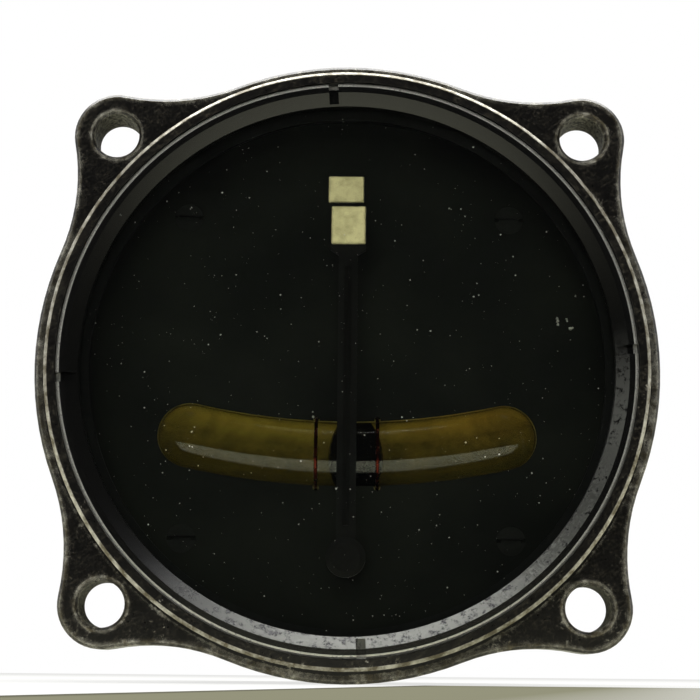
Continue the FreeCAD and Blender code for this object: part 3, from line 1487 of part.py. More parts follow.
def make_spring():
    """Close coil between the gimbal's post and the anchor."""
    pitch = value("(spring_top - spring_bottom - 2 * spring_wire) / spring_turns")
    height = value("spring_top - spring_bottom - 2 * spring_wire")
    radius = value("spring_radius")
    wire = value("spring_wire")
    path = Part.makeHelix(pitch, height, radius)
    ring = Part.makeCircle(wire, FreeCAD.Vector(radius, 0, 0), FreeCAD.Vector(0, 1, 0))
    coil = Part.Wire(path.Edges).makePipeShell([Part.Wire([ring])], True, True)
    spring = doc.addObject("Part::Feature", "spring_coil")
    spring.Shape = coil
    place(spring, ("0", "spring_station", "spring_bottom + spring_wire"))
    piece(spring, "centring_spring")


def make_spring_anchor():
    """Bracket on the mechanism plate, and the adjusting screw that holds the spring."""
    low = "spring_top + spigot_length"
    bracket = block("anchor_bracket", ("-anchor_width / 2", "plate_back", low),
                    ("anchor_width / 2", "spring_station + spigot_length", f"{low} + anchor_thickness"))
    hole = rod("anchor_hole", "spigot_radius + seat_gap", "anchor_thickness + 2 * hole_overrun",
               ("0", "spring_station", f"{low} - hole_overrun"), "z")
    piece(cut("anchor", bracket, [hole]), "spring_anchor")

    stem = rod("adjuster_stem", "spigot_radius", "2 * spigot_length + anchor_thickness + hole_overrun",
               ("0", "spring_station", "spring_top - spigot_length"), "z")
    collar = rod("adjuster_collar", "2 * spigot_radius", "spigot_radius",
                 ("0", "spring_station", "spring_top + spring_seat_gap"), "z")
    head = rod("adjuster_head", "2 * spigot_radius", "anchor_width / 4",
               ("0", "spring_station", f"{low} + anchor_thickness"), "z")
    blank = fuse("adjuster_blank", [stem, collar, head])
    top = f"{low} + anchor_thickness + anchor_width / 4"
    slot = block("adjuster_slot",
                 ("-2 * spigot_radius", "spring_station - slot_in_head / 2", f"{top} - slot_in_head"),
                 ("2 * spigot_radius", "spring_station + slot_in_head / 2", f"{top} + slot_in_head"))
    piece(cut("adjuster", blank, [slot]), "sensitivity_screw")


# Air supply and rear cover

def make_nozzle():
    """Tapered jet tube through the rear plate, aimed at the rotor's buckets."""
    rim = "rotor_station + sqrt(rotor_radius ^ 2 - inlet_height ^ 2)"
    tip = f"{rim} + nozzle_tip_gap"
    jet = turned("air_nozzle_body", [
        ("nozzle_bore_radius", tip),
        ("nozzle_tip_radius", tip),
        ("nozzle_radius", f"{tip} + nozzle_taper"),
        ("nozzle_radius", "cover_front"),
        ("nozzle_bore_radius", "cover_front"),
    ], ("0", "0", "inlet_height"))
    piece(jet, "air_nozzle")
    nut = hex_nut("nozzle_locknut", "nozzle_nut_radius", "nozzle_radius + seat_gap", "nozzle_nut_height",
                  ("0", "rear_plate_back", "inlet_height"))
    piece(nut, "nozzle_nut")


def make_rear_cover():
    """Rear cover with its inlet and suction bosses, and the gasket under it."""
    gasket = rod("rear_gasket_disc", "can_radius", "rear_gasket_thickness", ("0", "case_depth", "0"))
    front = "case_depth - hole_overrun"
    depth = "rear_gasket_thickness + 2 * hole_overrun"
    tools = [rod("rear_gasket_window", "rear_boss_circle - rear_boss_radius", depth, ("0", front, "0"))]
    for index, (x, z) in enumerate(boss_spots()):
        tools.append(rod(f"rear_gasket_hole_{index}", "rear_screw_radius + seat_gap", depth, (x, front, z)))
    piece(cut("rear_seal", gasket, tools), "rear_gasket")

    disc = turned("rear_cover_disc", [
        ("0", "cover_front"),
        ("can_radius", "cover_front"),
        ("can_radius", "cover_back - rear_cover_edge"),
        ("can_radius - rear_cover_edge", "cover_back"),
        ("0", "cover_back"),
    ])
    inlet = rod("inlet_boss", "inlet_boss_radius", "inlet_boss_height", ("0", "cover_back", "inlet_height"))
    suction = rod("suction_boss", "suction_boss_radius", "suction_boss_height",
                  ("0", "cover_back", "-suction_drop"))
    blank = fuse("rear_cover_blank", [disc, inlet, suction])
    whole = "rear_cover_thickness + inlet_boss_height + 2 * hole_overrun"
    start = "cover_front - hole_overrun"
    tools = [
        rod("inlet_passage", "inlet_passage_radius", whole, ("0", start, "inlet_height")),
        rod("inlet_recess", "inlet_recess_radius", "inlet_recess_depth + hole_overrun",
            ("0", "cover_back + inlet_boss_height - inlet_recess_depth", "inlet_height")),
        rod("suction_socket", "suction_spigot_radius + seat_gap", whole, ("0", start, "-suction_drop")),
    ]
    for index, (x, z) in enumerate(boss_spots()):
        tools.append(rod(f"rear_cover_hole_{index}", "rear_screw_radius + seat_gap", whole, (x, start, z)))
    piece(cut("rear_lid", blank, tools), "rear_cover")


def make_rear_screws():
    """Four cheese-head screws through the cover and gasket into the case."""
    screws = []
    for index, (x, z) in enumerate(boss_spots()):
        head = rod(f"rear_screw_head_{index}", "rear_head_radius", "rear_head_height", (x, "cover_back", z))
        shank = rod(f"rear_screw_shank_{index}", "rear_screw_radius - seat_gap",
                    "rear_screw_length + rear_gasket_thickness + rear_cover_thickness",
                    (x, "case_depth - rear_screw_length", z))
        blank = fuse(f"rear_screw_blank_{index}", [head, shank])
        screws.append(slotted_head(f"rear_screw_{index}", blank, "slot_in_head", "slot_in_head",
                                   "rear_head_radius", "cover_back + rear_head_height", x, z))
    piece(group("rear_screw_set", screws), "rear_screws")


def make_inlet_filter():
    """Perforated screen in the inlet recess, kept in by a snap ring."""
    floor = "cover_back + inlet_boss_height - inlet_recess_depth"
    disc = rod("screen_disc", "inlet_recess_radius - seat_gap", "screen_thickness",
               ("0", f"{floor} + screen_stand", "inlet_height"))
    holes = []
    for ring, count in enumerate((6, 12), start=1):
        for step in range(count):
            angle = f"{step} * 360 / {count}"
            spot = (f"{ring} * screen_pitch * sin({angle})", f"{floor} + screen_stand - hole_overrun",
                    f"inlet_height + {ring} * screen_pitch * cos({angle})")
            holes.append(rod(f"screen_hole_{ring}_{step}", "screen_hole_radius",
                             "screen_thickness + 2 * hole_overrun", spot))
    piece(cut("screen", disc, holes), "inlet_screen")

    support = tube("screen_support_ring", "inlet_recess_radius - seat_gap",
                   "inlet_recess_radius - snap_ring_width", "screen_stand", ("0", floor, "inlet_height"))
    piece(support, "screen_support")
    snap = tube("snap_ring_full", "inlet_recess_radius - seat_gap", "inlet_recess_radius - snap_ring_width",
                "snap_ring_height", ("0", f"{floor} + screen_stand + screen_thickness", "inlet_height"))
    gap = block("snap_ring_gap",
                ("-snap_ring_width / 2", f"{floor} + screen_stand + screen_thickness - hole_overrun",
                 "inlet_height"),
                ("snap_ring_width / 2",
                 f"{floor} + screen_stand + screen_thickness + snap_ring_height + hole_overrun",
                 "inlet_height + inlet_recess_radius"))
    piece(cut("snap_ring", snap, [gap]), "inlet_snap_ring")


def make_suction_fitting():
    """Hexagonal union in the rear cover, tapped for the suction pipe."""
    start = "cover_back + suction_boss_height"
    prism = doc.addObject("Part::Prism", "suction_hexagon")
    prism.Polygon = 6
    bind(prism, Circumradius="suction_hex_flats / 2 / cos(30)", Height="suction_length")
    place(prism, ("0", start, "-suction_drop"), TURNS["y"])
    spigot = rod("suction_spigot", "suction_spigot_radius", "rear_cover_thickness + suction_boss_height",
                 ("0", "cover_front", "-suction_drop"))
    blank = fuse("suction_blank", [prism, spigot])
    bore = rod("suction_bore", "suction_bore_radius", "suction_bore_depth + hole_overrun",
               ("0", f"{start} + suction_length - suction_bore_depth", "-suction_drop"))
    passage = rod("suction_passage", "suction_passage_radius", "suction_length + case_depth",
                  ("0", "cover_front - hole_overrun", "-suction_drop"))
    piece(cut("suction", blank, [bore, passage]), "suction_fitting")


def make_access_plug():
    """Slotted plug and washer over the sensitivity screw, on top of the drum."""
    washer = tube("plug_washer_ring", "plug_head_radius", "plug_radius + seat_gap", "plug_washer",
                  ("0", "plug_depth", "plug_boss_top"), "z")
    piece(washer, "plug_washer")
    shank = rod("plug_shank", "plug_radius - seat_gap", "plug_boss_top + plug_washer - chamber_radius",
                ("0", "plug_depth", "chamber_radius"), "z")
    head = rod("plug_head", "plug_head_radius", "plug_head_height",
               ("0", "plug_depth", "plug_boss_top + plug_washer"), "z")
    top = "plug_boss_top + plug_washer + plug_head_height"
    slot = block("plug_slot",
                 ("-plug_head_radius", "plug_depth - slot_in_head / 2", f"{top} - slot_in_head"),
                 ("plug_head_radius", "plug_depth + slot_in_head / 2", f"{top} + slot_in_head"))
    piece(cut("plug", fuse("plug_blank", [shank, head]), [slot]), "access_plug")


def build():
    """Make every piece in the order of assembly, from the front to the rear."""
    make_case()
    make_retaining_ring()
    make_glass()
    make_dial()
    make_dial_screws()
    make_dial_pillars()
    make_tube()
    make_ball()
    make_wires()
    make_tube_backing()
    make_tube_bracket()
    make_bracket_screws()
    make_pointer()
    make_pointer_hub()
    make_pointer_staff()
    make_pointer_bush()
    make_fork_lever()
    make_mechanism_plate()
    make_plate_screws()
    make_frame_pillars()
    make_pillar_nuts()
    make_rear_plate()
    make_gimbal_bearings()
    make_gimbal_stops()
    make_gimbal()
    make_gimbal_pivots()
    make_drive_arm()
    make_spring_post()
    make_link_arm()
    make_counterweight()
    make_rotor_bearings()
    make_rotor()
    make_rotor_shaft()
    make_damper_cylinder()
    make_damper_screws()
    make_damper_valve()
    make_damper_piston()
    make_spring()
    make_spring_anchor()
    make_nozzle()
    make_rear_cover()
    make_rear_screws()
    make_inlet_filter()
    make_suction_fitting()
    make_access_plug()
    doc.recompute()


def check_and_write():
    """Stop if an object failed or a piece is empty or not valid, then write them all."""
    for item in doc.Objects:
        bad = [state for state in item.State if state in ("Invalid", "Error")]
        if bad:
            raise RuntimeError(f"{item.Name} ({item.Label}) is {bad}")
    for item in pieces:
        if item.Shape.isNull() or not item.Shape.isValid() or not item.Shape.Solids:
            raise RuntimeError(f"{item.Label} has no valid solid")
    os.makedirs("parts", exist_ok=True)
    for item in pieces:
        item.Shape.exportStep(f"parts/{item.Label}.step")
        solids = len(item.Shape.Solids)
        print(f"{item.Label}: {solids} solid(s), {item.Shape.Volume:.1f} mm3")
    print(f"{len(pieces)} pieces")


build()
check_and_write()
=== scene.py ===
"""Looks of an air-driven turn and bank indicator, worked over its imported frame.

Sizes are in millimetres until a mesh is written, which is in metres. X is to the right, Y to the
rear and Z up, and the dial's axis is the Y axis.
"""
import logging
import math
from dataclasses import dataclass
from enum import Enum
from typing import Any, Iterable, Sequence

import bpy
import numpy as np
from bpy.types import Material, Node, NodeSocket, NodeTree, Object
from mathutils import Matrix, Vector


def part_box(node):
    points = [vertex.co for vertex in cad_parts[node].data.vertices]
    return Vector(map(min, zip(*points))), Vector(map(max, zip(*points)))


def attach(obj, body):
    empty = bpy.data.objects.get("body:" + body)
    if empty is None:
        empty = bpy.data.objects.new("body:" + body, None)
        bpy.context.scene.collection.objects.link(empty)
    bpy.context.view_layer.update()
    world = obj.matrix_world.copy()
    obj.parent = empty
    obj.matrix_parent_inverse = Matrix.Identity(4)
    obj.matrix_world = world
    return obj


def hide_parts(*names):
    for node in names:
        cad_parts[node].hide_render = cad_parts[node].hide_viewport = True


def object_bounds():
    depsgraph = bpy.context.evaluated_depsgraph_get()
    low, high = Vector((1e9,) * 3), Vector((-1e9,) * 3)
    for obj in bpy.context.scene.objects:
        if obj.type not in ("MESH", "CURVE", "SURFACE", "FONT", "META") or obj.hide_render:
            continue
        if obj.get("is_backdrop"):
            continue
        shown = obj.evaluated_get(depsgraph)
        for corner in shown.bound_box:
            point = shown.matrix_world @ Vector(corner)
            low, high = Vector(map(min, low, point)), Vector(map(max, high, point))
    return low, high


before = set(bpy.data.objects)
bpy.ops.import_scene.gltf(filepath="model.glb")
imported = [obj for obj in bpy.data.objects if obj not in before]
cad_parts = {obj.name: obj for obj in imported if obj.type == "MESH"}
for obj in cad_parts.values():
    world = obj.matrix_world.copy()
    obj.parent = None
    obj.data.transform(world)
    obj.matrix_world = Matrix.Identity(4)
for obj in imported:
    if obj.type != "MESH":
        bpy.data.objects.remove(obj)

log = logging.getLogger("indicator")

MM = 0.001
SEED = 1938


def linear(code: str) -> tuple[float, float, float, float]:
    """Turns an sRGB hex colour to linear light.

    Each channel c becomes c / 12.92 up to 0.04045, and ((c + 0.055) / 1.055) ** 2.4 above it.

    Args:
        code: The colour as "#rrggbb".

    Returns:
        The linear red, green and blue, and an alpha of 1.
    """
    channels = np.array([int(code[i:i + 2], 16) for i in (1, 3, 5)]) / 255
    light = np.where(channels <= 0.04045, channels / 12.92, ((channels + 0.055) / 1.055) ** 2.4)
    return (*(float(c) for c in light), 1.0)


class Grain(Enum):
    """How a metal's surface was worked, which sets the direction of its fine lines."""

    TURNED = "turned about the dial's axis"
    DRAWN = "drawn along its length"
    CAST = "cast or tumbled, with no direction"


class Graph:
    """The node tree of one material or world."""

    def __init__(self, tree: NodeTree) -> None:
        """Empties the tree and keeps it."""
        tree.nodes.clear()
        self.tree = tree

    def add(self, kind: str, settings: dict[str, Any] | None = None, *inputs: Any,
            **named: Any) -> Node:
        """Adds one node with its settings, values and links.

        Args:
            kind: The node's type without "ShaderNode" before it.
            settings: The node's own properties.
            inputs: Values, sockets or nodes for its open inputs in order; None leaves one alone.
            named: The same by input name, with _ for a space.

        Returns:
            The node.
        """
        node = self.tree.nodes.new("ShaderNode" + kind)
        for key, value in (settings or {}).items():
            setattr(node, key, value)
        sockets = [s for s in node.inputs if s.enabled]
        by_name = {s.name.replace(" ", "_"): s for s in reversed(sockets)}
        pairs = [*zip(sockets, inputs), *((by_name[name], value) for name, value in named.items())]
        for socket, value in pairs:
            if value is None:
                continue
            if isinstance(value, Node):
                value = next(o for o in value.outputs if o.enabled)
            if isinstance(value, NodeSocket):
                self.tree.links.new(value, socket)
            else:
                socket.default_value = value
        return node

    def mix(self, share: Any, first: Any, second: Any) -> Node:
        """Adds a mix of two colours.

        Args:
            share: How much there is of the second, from 0 to 1.
            first: A hex colour, a linear colour or a node.
            second: The same.

        Returns:
            The node that gives the colour.
        """
        colours = [linear(c) if isinstance(c, str) else c for c in (first, second)]
        return self.add("Mix", {"data_type": "RGBA"}, share, *colours)

    def blend(self, share: Any, first: Any, second: Any) -> Node:
        """Adds a mix of two numbers.

        Args:
            share: How much there is of the second, from 0 to 1.
            first: A number or a node.
            second: The same.

        Returns:
            The node that gives the number.
        """
        return self.add("Mix", {"data_type": "FLOAT"}, share, first, second)

    def ramp(self, value: Any, low: float, high: float, start: float = 0.0,
             end: float = 1.0) -> Node:
        """Adds a number that runs from start to end while value runs from low to high.

        Args:
            value: The node or socket that is measured.
            low: Where the ramp begins.
            high: Where it stops; it may be less than low.
            start: What the ramp gives up to low.
            end: What it gives from high on.

        Returns:
            The node that gives the number.
        """
        return self.add("MapRange", {}, value, low, high, start, end)

    def math(self, operation: str, *values: Any) -> Node:
        """Adds one step of arithmetic.

        Args:
            operation: Blender's name for it.
            values: Its numbers or nodes in order.

        Returns:
            The node that gives the result.
        """
        return self.add("Math", {"operation": operation}, *values)

    def vector(self, operation: str, *values: Any) -> Node:
        """Adds one step of vector arithmetic.

        Args:
            operation: Blender's name for it.
            values: Its vectors or nodes in order.

        Returns:
            The node that gives the result.
        """
        return self.add("VectorMath", {"operation": operation}, *values)

    def noise(self, place: Any, size: float, detail: float, roughness: float = 0.5) -> Node:
        """Adds a cloudy pattern.

        Args:
            place: Object coordinates.
            size: How far apart its grains are, in mm.
            detail: How many finer layers it has.
            roughness: How strong each finer layer is.

        Returns:
            The node that gives the pattern, mostly from 0.3 to 0.7.
        """
        return self.add("TexNoise", {}, Vector=place, Scale=1 / (size * MM), Detail=detail,
                        Roughness=roughness)


def new_material(name: str) -> tuple[Material, Graph]:
    """Makes an empty node material.

    Args:
        name: The material's name.

    Returns:
        The material and its graph.
    """
    material = bpy.data.materials.new(name)
    material.use_nodes = True
    return material, Graph(material.node_tree)


def plane_distance(graph: Graph, place: Any, x: float = 0.0, z: float = 0.0) -> Node:
    """Adds the distance from a line along Y, sqrt((px - x)^2 + (pz - z)^2), in metres.

    Args:
        graph: The material's graph.
        place: Object coordinates.
        x: Where the line is, in mm; the dial's axis if both are left out.
        z: The same.

    Returns:
        The node that gives the distance.
    """
    flat = graph.vector("MULTIPLY", place, (1, 0, 1))
    return graph.vector("DISTANCE", flat, (x * MM, 0, z * MM))


def band(graph: Graph, value: Any, low: float, high: float, soft: float) -> Node:
    """Adds a mask that is 1 where value lies from low to high and fades over soft on both sides.

    Args:
        graph: The material's graph.
        value: The socket or node that is measured.
        low: Where the band starts.
        high: Where it ends.
        soft: The width of each fade.

    Returns:
        The node that gives the mask.
    """
    rise = graph.ramp(value, low - soft, low)
    fall = graph.ramp(value, high, high + soft, 1.0, 0.0)
    return graph.math("MULTIPLY", rise, fall)


def lamps_pass(graph: Graph, glass: Node, tint: str) -> Node:
    """Lets lamps shine through glass on what is behind it, by a transparent share for their rays.

    Args:
        graph: The material's graph.
        glass: The glass's own shader.
        tint: The colour of the light that passes.

    Returns:
        The node that gives the mixed shader.
    """
    clear = graph.add("BsdfTransparent", {}, linear(tint))
    rays = graph.add("LightPath")
    passing = graph.math("MAXIMUM", rays.outputs["Is Shadow Ray"], rays.outputs["Is Diffuse Ray"])
    return graph.add("MixShader", {}, passing, glass, clear)


@dataclass(frozen=True)
class Finish:
    """A named finish, from which a material is made."""

    name: str

    def build(self) -> Material:
        """Makes the material.

        Returns:
            The material.
        """
        material, g = new_material(self.name)
        g.add("OutputMaterial", {}, self.surface(g, g.add("TexCoord").outputs["Object"]))
        return material

    def surface(self, g: Graph, place: NodeSocket) -> Node:
        """Adds the finish's shader; each kind of finish has its own.

        Args:
            g: The material's graph.
            place: Object coordinates, which are the part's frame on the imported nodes.

        Returns:
            The shader's node.
        """
        raise NotImplementedError


@dataclass(frozen=True)
class TubeArc:
    """Where the inclinometer's tube lies, in mm. Its axis is an arc in a plane parallel to XZ."""

    centre_height: float = 87.4
    curve_radius: float = 98.0
    radius: float = 4.45
    axis_station: float = 11.0

    def reach(self, graph: Graph, place: Any) -> Node:
        """Adds the distance from the arc's centre.

        Args:
            graph: The material's graph.
            place: Object coordinates.

        Returns:
            The node that gives the distance in metres.
        """
        return plane_distance(graph, place, z=self.centre_height)


@dataclass(frozen=True)
class WornLine:
    """A turned edge whose paint is gone; its pale bare metal is also a painted glint along it.

    It lies from inner to outer mm off the dial's axis, in front of the station behind, in mm.
    """

    inner: float
    outer: float
    behind: float
    strength: float


@dataclass(frozen=True)
class StovedEnamel(Finish):
    """Black stoving enamel on a cast and turned aluminium case.

    It is glassy with a slight orange peel and grey rub marks. It wears thin on edges and round
    holes, where dull grey metal with a warm oxide shows through in patches. The bare metal is pale
    and only partly metallic, so that the worn edges also carry a painted glint. The mounting holes
    are crusted inside. Lengths are in mm, angles in degrees.
    """

    enamel: str = "#0b0a09"
    haze: str = "#474234"
    bore: str = "#807e6a"
    # metal is bare aluminium, pale and only partly metallic so that worn edges also carry a
    # painted glint
    metal: str = "#c2bfb0"
    oxide: str = "#635c49"
    roughness: float = 0.33
    bare_roughness: float = 0.42
    bore_roughness: float = 0.7
    bare_metallic: float = 0.55
    rub_angle: float = 35.0
    edge: float = 1.9
    arris: float = 0.45
    wear: float = 1.0
    lines: tuple[WornLine, ...] = ()
    hole_offset: float = 31.4325
    hole_radius: float = 3.0
    rim_width: float = 0.8
    washer_radius: float = 3.55
    clean_inner: float = 40.3
    low_from: float = 15.0
    low_to: float = -30.0
    bare_from: float = 0.58
    bare_to: float = 0.8

    def surface(self, g: Graph, place: NodeSocket) -> Node:
        """Adds the shader. See Finish."""
        across = plane_distance(g, place)
        worn = self.worn(g, place, across)
        blotch = g.noise(place, 2.2, 6.0, 0.7)
        stain = g.ramp(blotch, 0.42, 0.62)
        metal = g.mix(stain, self.oxide, self.metal)
        rubbed = g.noise(place, 0.45, 5.0, 0.8)
        dusty = g.ramp(rubbed, 0.49, 0.72)
        dusty = g.math("MULTIPLY", dusty, stain)
        turned = g.add("VectorRotate", {"rotation_type": "Y_AXIS"}, Vector=place,
                       Angle=math.radians(self.rub_angle))
        pulled = g.vector("MULTIPLY", turned, (0.16, 1, 1))
        streak = g.noise(pulled, 0.35, 4.0, 0.7)
        streak = g.ramp(streak, 0.56, 0.74, 0.0, 0.55)
        dusty = g.math("MAXIMUM", dusty, streak)
        paint = g.mix(dusty, self.enamel, self.haze)
        colour = g.mix(worn, paint, metal)
        bore = g.ramp(self.from_hole(g, place), (self.hole_radius + 0.02) * MM,
                      (self.hole_radius + 0.06) * MM, 1.0, 0.0)
        crust = g.ramp(rubbed, 0.4, 0.62)
        crust = g.mix(crust, self.enamel, self.bore)
        colour = g.mix(bore, colour, crust)
        peel = g.noise(place, 0.5, 3.0, 0.55)
        pits = g.noise(place, 1.3, 5.0, 0.65)
        relief = g.blend(worn, peel, pits)
        bump = g.add("Bump", {}, Strength=0.35, Distance=0.03 * MM, Height=relief)
        gloss = g.blend(worn, self.roughness, self.bare_roughness)
        haze = g.ramp(peel, 0.3, 0.7, -0.06, 0.08)
        rough = g.math("ADD", gloss, haze)
        rough = g.blend(bore, rough, self.bore_roughness)
        shine = g.math("MULTIPLY", worn, self.bare_metallic)
        gleam = g.ramp(bore, 0.0, 1.0, 0.5, 0.1)
        return g.add("BsdfPrincipled", {}, Base_Color=colour, Metallic=shine, Roughness=rough,
                     Specular_IOR_Level=gleam, Normal=bump)

    def from_hole(self, g: Graph, place: NodeSocket) -> Node:
        """Adds the distance from the axis of the nearest mounting hole.

        Args:
            g: The material's graph.
            place: Object coordinates.

        Returns:
            The node that gives the distance in metres.
        """
        folded = g.vector("ABSOLUTE", place)
        return plane_distance(g, folded, self.hole_offset, self.hole_offset)

    def worn(self, g: Graph, place: NodeSocket, across: Node) -> Node:
        """Adds the mask of bare metal: edges, hole rims, turned edges and stray scuffs.

        The shares of wear are added up, with broad and fine noise, and paint is gone where their
        sum passes bare_from to bare_to.

        Args:
            g: The material's graph.
            place: Object coordinates.
            across: The distance from the dial's axis.

        Returns:
            The node that gives the mask, from 0 for paint to 1 for metal.
        """
        normal = g.add("NewGeometry").outputs["Normal"]
        rounded = g.add("Bevel", {"samples": 6}, self.edge * MM)
        facing = g.vector("DOT_PRODUCT", rounded, normal)
        edge = g.ramp(facing, 0.995, 0.76, 0.0, 1.3)
        rounded = g.add("Bevel", {"samples": 6}, self.arris * MM)
        facing = g.vector("DOT_PRODUCT", rounded, normal)
        arris = g.ramp(facing, 0.97, 0.85, 0.0, 1.2)
        edge = g.math("ADD", edge, arris)
        outside = g.ramp(across, (self.clean_inner - 0.3) * MM, self.clean_inner * MM)
        edge = g.math("MULTIPLY", edge, outside)
        from_hole = self.from_hole(g, place)
        rim = g.ramp(from_hole, self.hole_radius * MM,
                     (self.hole_radius + self.rim_width) * MM, 0.1, 0.0)
        wall = g.ramp(from_hole, (self.hole_radius + 0.03) * MM,
                      (self.hole_radius + 0.1) * MM)
        rim = g.math("MULTIPLY", rim, wall)
        washer = band(g, from_hole, self.washer_radius * MM, (self.washer_radius + 0.1) * MM,
                      0.08 * MM)
        washer = g.math("MULTIPLY", washer, 0.35)
        broad = g.noise(place, 6.0, 4.0, 0.6)
        fine = g.noise(place, 0.9, 6.0, 0.8)
        lean = g.ramp(broad, 0.35, 0.65, -0.42, 0.36)
        speck = g.ramp(fine, 0.3, 0.7, -0.8, 0.6)
        axes = g.add("SeparateXYZ", {}, place)
        depth, height = axes.outputs["Y"], axes.outputs["Z"]
        low = g.ramp(height, self.low_from * MM, self.low_to * MM, 0.0, 0.22)
        total = edge
        for share in (rim, washer, lean, speck, low):
            total = g.math("ADD", total, share)
        mask = g.ramp(total, self.bare_from, self.bare_to, 0.0, self.wear)
        for line in self.lines:
            ring = band(g, across, line.inner * MM, line.outer * MM, 0.05 * MM)
            ahead = g.ramp(depth, (line.behind - 0.05) * MM, line.behind * MM, 1.0, 0.0)
            broken = g.ramp(fine, 0.3, 0.5, line.strength * 0.55, line.strength)
            ring = g.math("MULTIPLY", g.math("MULTIPLY", ring, ahead), broken)
            mask = g.math("MAXIMUM", mask, ring)
        return mask


@dataclass(frozen=True)
class ScuffedRing(Finish):
    """The same enamel on the turned retaining ring, handled until its low side is bare and dented.

    The bevel that faces the glass is rubbed bright at the bottom and the lower right, the flat
    land keeps the lathe's fine lines, and the outer corner is bare metal all round. Lengths are
    in mm, angles in degrees from +X towards +Z.
    """

    enamel: str = "#090908"
    metal: str = "#797a74"
    bright: str = "#e9e8dd"
    roughness: float = 0.26
    bevel_inner: float = 35.3
    bevel_outer: float = 36.9
    corner_inner: float = 37.7
    line_pitch: float = 0.16
    low_angle: float = -62.0
    low_spread: float = 72.0
    low_full: float = 28.0
    dent_depth: float = 14.0

    def surface(self, g: Graph, place: NodeSocket) -> Node:
        """Adds the shader. See Finish."""
        across = plane_distance(g, place)
        low = self.low_side(g, place)
        bevel = band(g, across, self.bevel_inner * MM, self.bevel_outer * MM, 0.04 * MM)
        fine = g.noise(place, 0.7, 6.0, 0.7)
        broad = g.noise(place, 1.1, 6.0, 0.7)
        rubbed = g.ramp(broad, 0.38, 0.5)
        rubbed = g.math("MULTIPLY", rubbed, low)
        rubbed = g.math("MULTIPLY", rubbed, bevel)
        corner = g.ramp(across, (self.corner_inner - 0.05) * MM,
                        self.corner_inner * MM)
        nicks = g.ramp(fine, 0.3, 0.46, 0.35, 1.0)
        corner = g.math("MULTIPLY", corner, nicks)
        stray = g.ramp(fine, 0.7, 0.76, 0.0, 0.6)
        bare = g.math("MAXIMUM", rubbed, corner)
        bare = g.math("MAXIMUM", bare, stray)
        metal = g.mix(corner, self.metal, self.bright)
        colour = g.mix(bare, self.enamel, metal)
        turns = g.math("MULTIPLY", across, 2 * math.pi / (self.line_pitch * MM))
        turns = g.math("SINE", turns)
        land = g.math("SUBTRACT", 1.0, bevel)
        turns = g.math("MULTIPLY", turns, land)
        dents = g.noise(place, 0.8, 4.0, 0.6)
        dents = g.math("MULTIPLY", dents, low)
        relief = g.math("MULTIPLY_ADD", dents, self.dent_depth, turns)
        relief = g.math("MULTIPLY_ADD", fine, 0.8, relief)
        bump = g.add("Bump", {}, Strength=0.5, Distance=0.012 * MM, Height=relief)
        shine = g.math("MULTIPLY", bare, 0.85)
        gloss = g.ramp(bare, 0.0, 1.0, self.roughness, 0.36)
        return g.add("BsdfPrincipled", {}, Base_Color=colour, Metallic=shine, Roughness=gloss,
                     Coat_Weight=0.4, Coat_Roughness=0.2, Normal=bump)

    def low_side(self, g: Graph, place: NodeSocket) -> Node:
        """Adds the mask of the handled side: 1 near low_angle, 0 past low_spread degrees from it.

        Args:
            g: The material's graph.
            place: Object coordinates.

        Returns:
            The node that gives the mask.
        """
        way = math.radians(self.low_angle)
        flat = g.vector("MULTIPLY", place, (1, 0, 1))
        unit = g.vector("NORMALIZE", flat)
        towards = g.vector("DOT_PRODUCT", unit, (math.cos(way), 0, math.sin(way)))
        edge, full = (math.cos(math.radians(a)) for a in (self.low_spread, self.low_full))
        return g.add("MapRange", {"interpolation_type": "SMOOTHSTEP"}, towards, edge, full)


@dataclass(frozen=True)
class ClearGlass(Finish):
    """Flat drawn window glass with a faint green cast."""

    tint: str = "#f6f8f5"
    ior: float = 1.5
    roughness: float = 0.0

    def surface(self, g: Graph, place: NodeSocket) -> Node:
        """Adds the shader. See Finish."""
        glass = g.add("BsdfPrincipled", {}, Base_Color=linear(self.tint), Roughness=self.roughness,
                      IOR=self.ior, Transmission_Weight=1.0)
        return lamps_pass(g, glass, self.tint)


@dataclass(frozen=True)
class PaintedShadeTube(Finish):
    """The inclinometer's glass and liquid as one body, with painted shade that darkens downwards.

    The painted shade stands for the light that falls from above, and lies on the tube's front
    half.
    Its depth follows the distance from the centre of the tube's arc, so the tube is clear at the
    upper edge and darkest at the lower one. Its steps are in tube radii below the upper edge.
    """

    arc: TubeArc = TubeArc()
    clear: str = "#f3ebcc"
    # middle and lower are painted shade, darker towards the tube's lower edge
    middle: str = "#6c7078"
    lower: str = "#4a4e58"
    middle_from: float = 0.3
    middle_to: float = 0.85
    lower_from: float = 1.2
    lower_to: float = 1.9
    ior: float = 1.55
    coat: float = 0.6

    def surface(self, g: Graph, place: NodeSocket) -> Node:
        """Adds the shader. See Finish."""
        reach = self.arc.reach(g, place)
        near, radius = self.arc.curve_radius - self.arc.radius, self.arc.radius
        # painted shade: the tube darkens from its upper edge to its lower one, as light falls from
        # above
        first = g.ramp(reach, (near + self.middle_from * radius) * MM,
                       (near + self.middle_to * radius) * MM)
        second = g.ramp(reach, (near + self.lower_from * radius) * MM,
                        (near + self.lower_to * radius) * MM)
        cloud = g.ramp(g.noise(place, 2.5, 4.0, 0.6), 0.35, 0.65, 0.8, 1.0)
        first = g.math("MULTIPLY", first, cloud)
        painted_shade = g.mix(first, self.clear, self.middle)
        painted_shade = g.mix(second, painted_shade, self.lower)
        station = g.add("SeparateXYZ", {}, place).outputs["Y"]
        front = g.ramp(station, (self.arc.axis_station - 0.5) * MM,
                       (self.arc.axis_station + 0.5) * MM, 1.0, 0.0)
        painted_shade = g.mix(front, self.clear, painted_shade)
        glass = g.add("BsdfPrincipled", {}, Base_Color=painted_shade, Roughness=0.0, IOR=self.ior,
                      Transmission_Weight=1.0, Coat_Weight=self.coat)
        return lamps_pass(g, glass, self.clear)


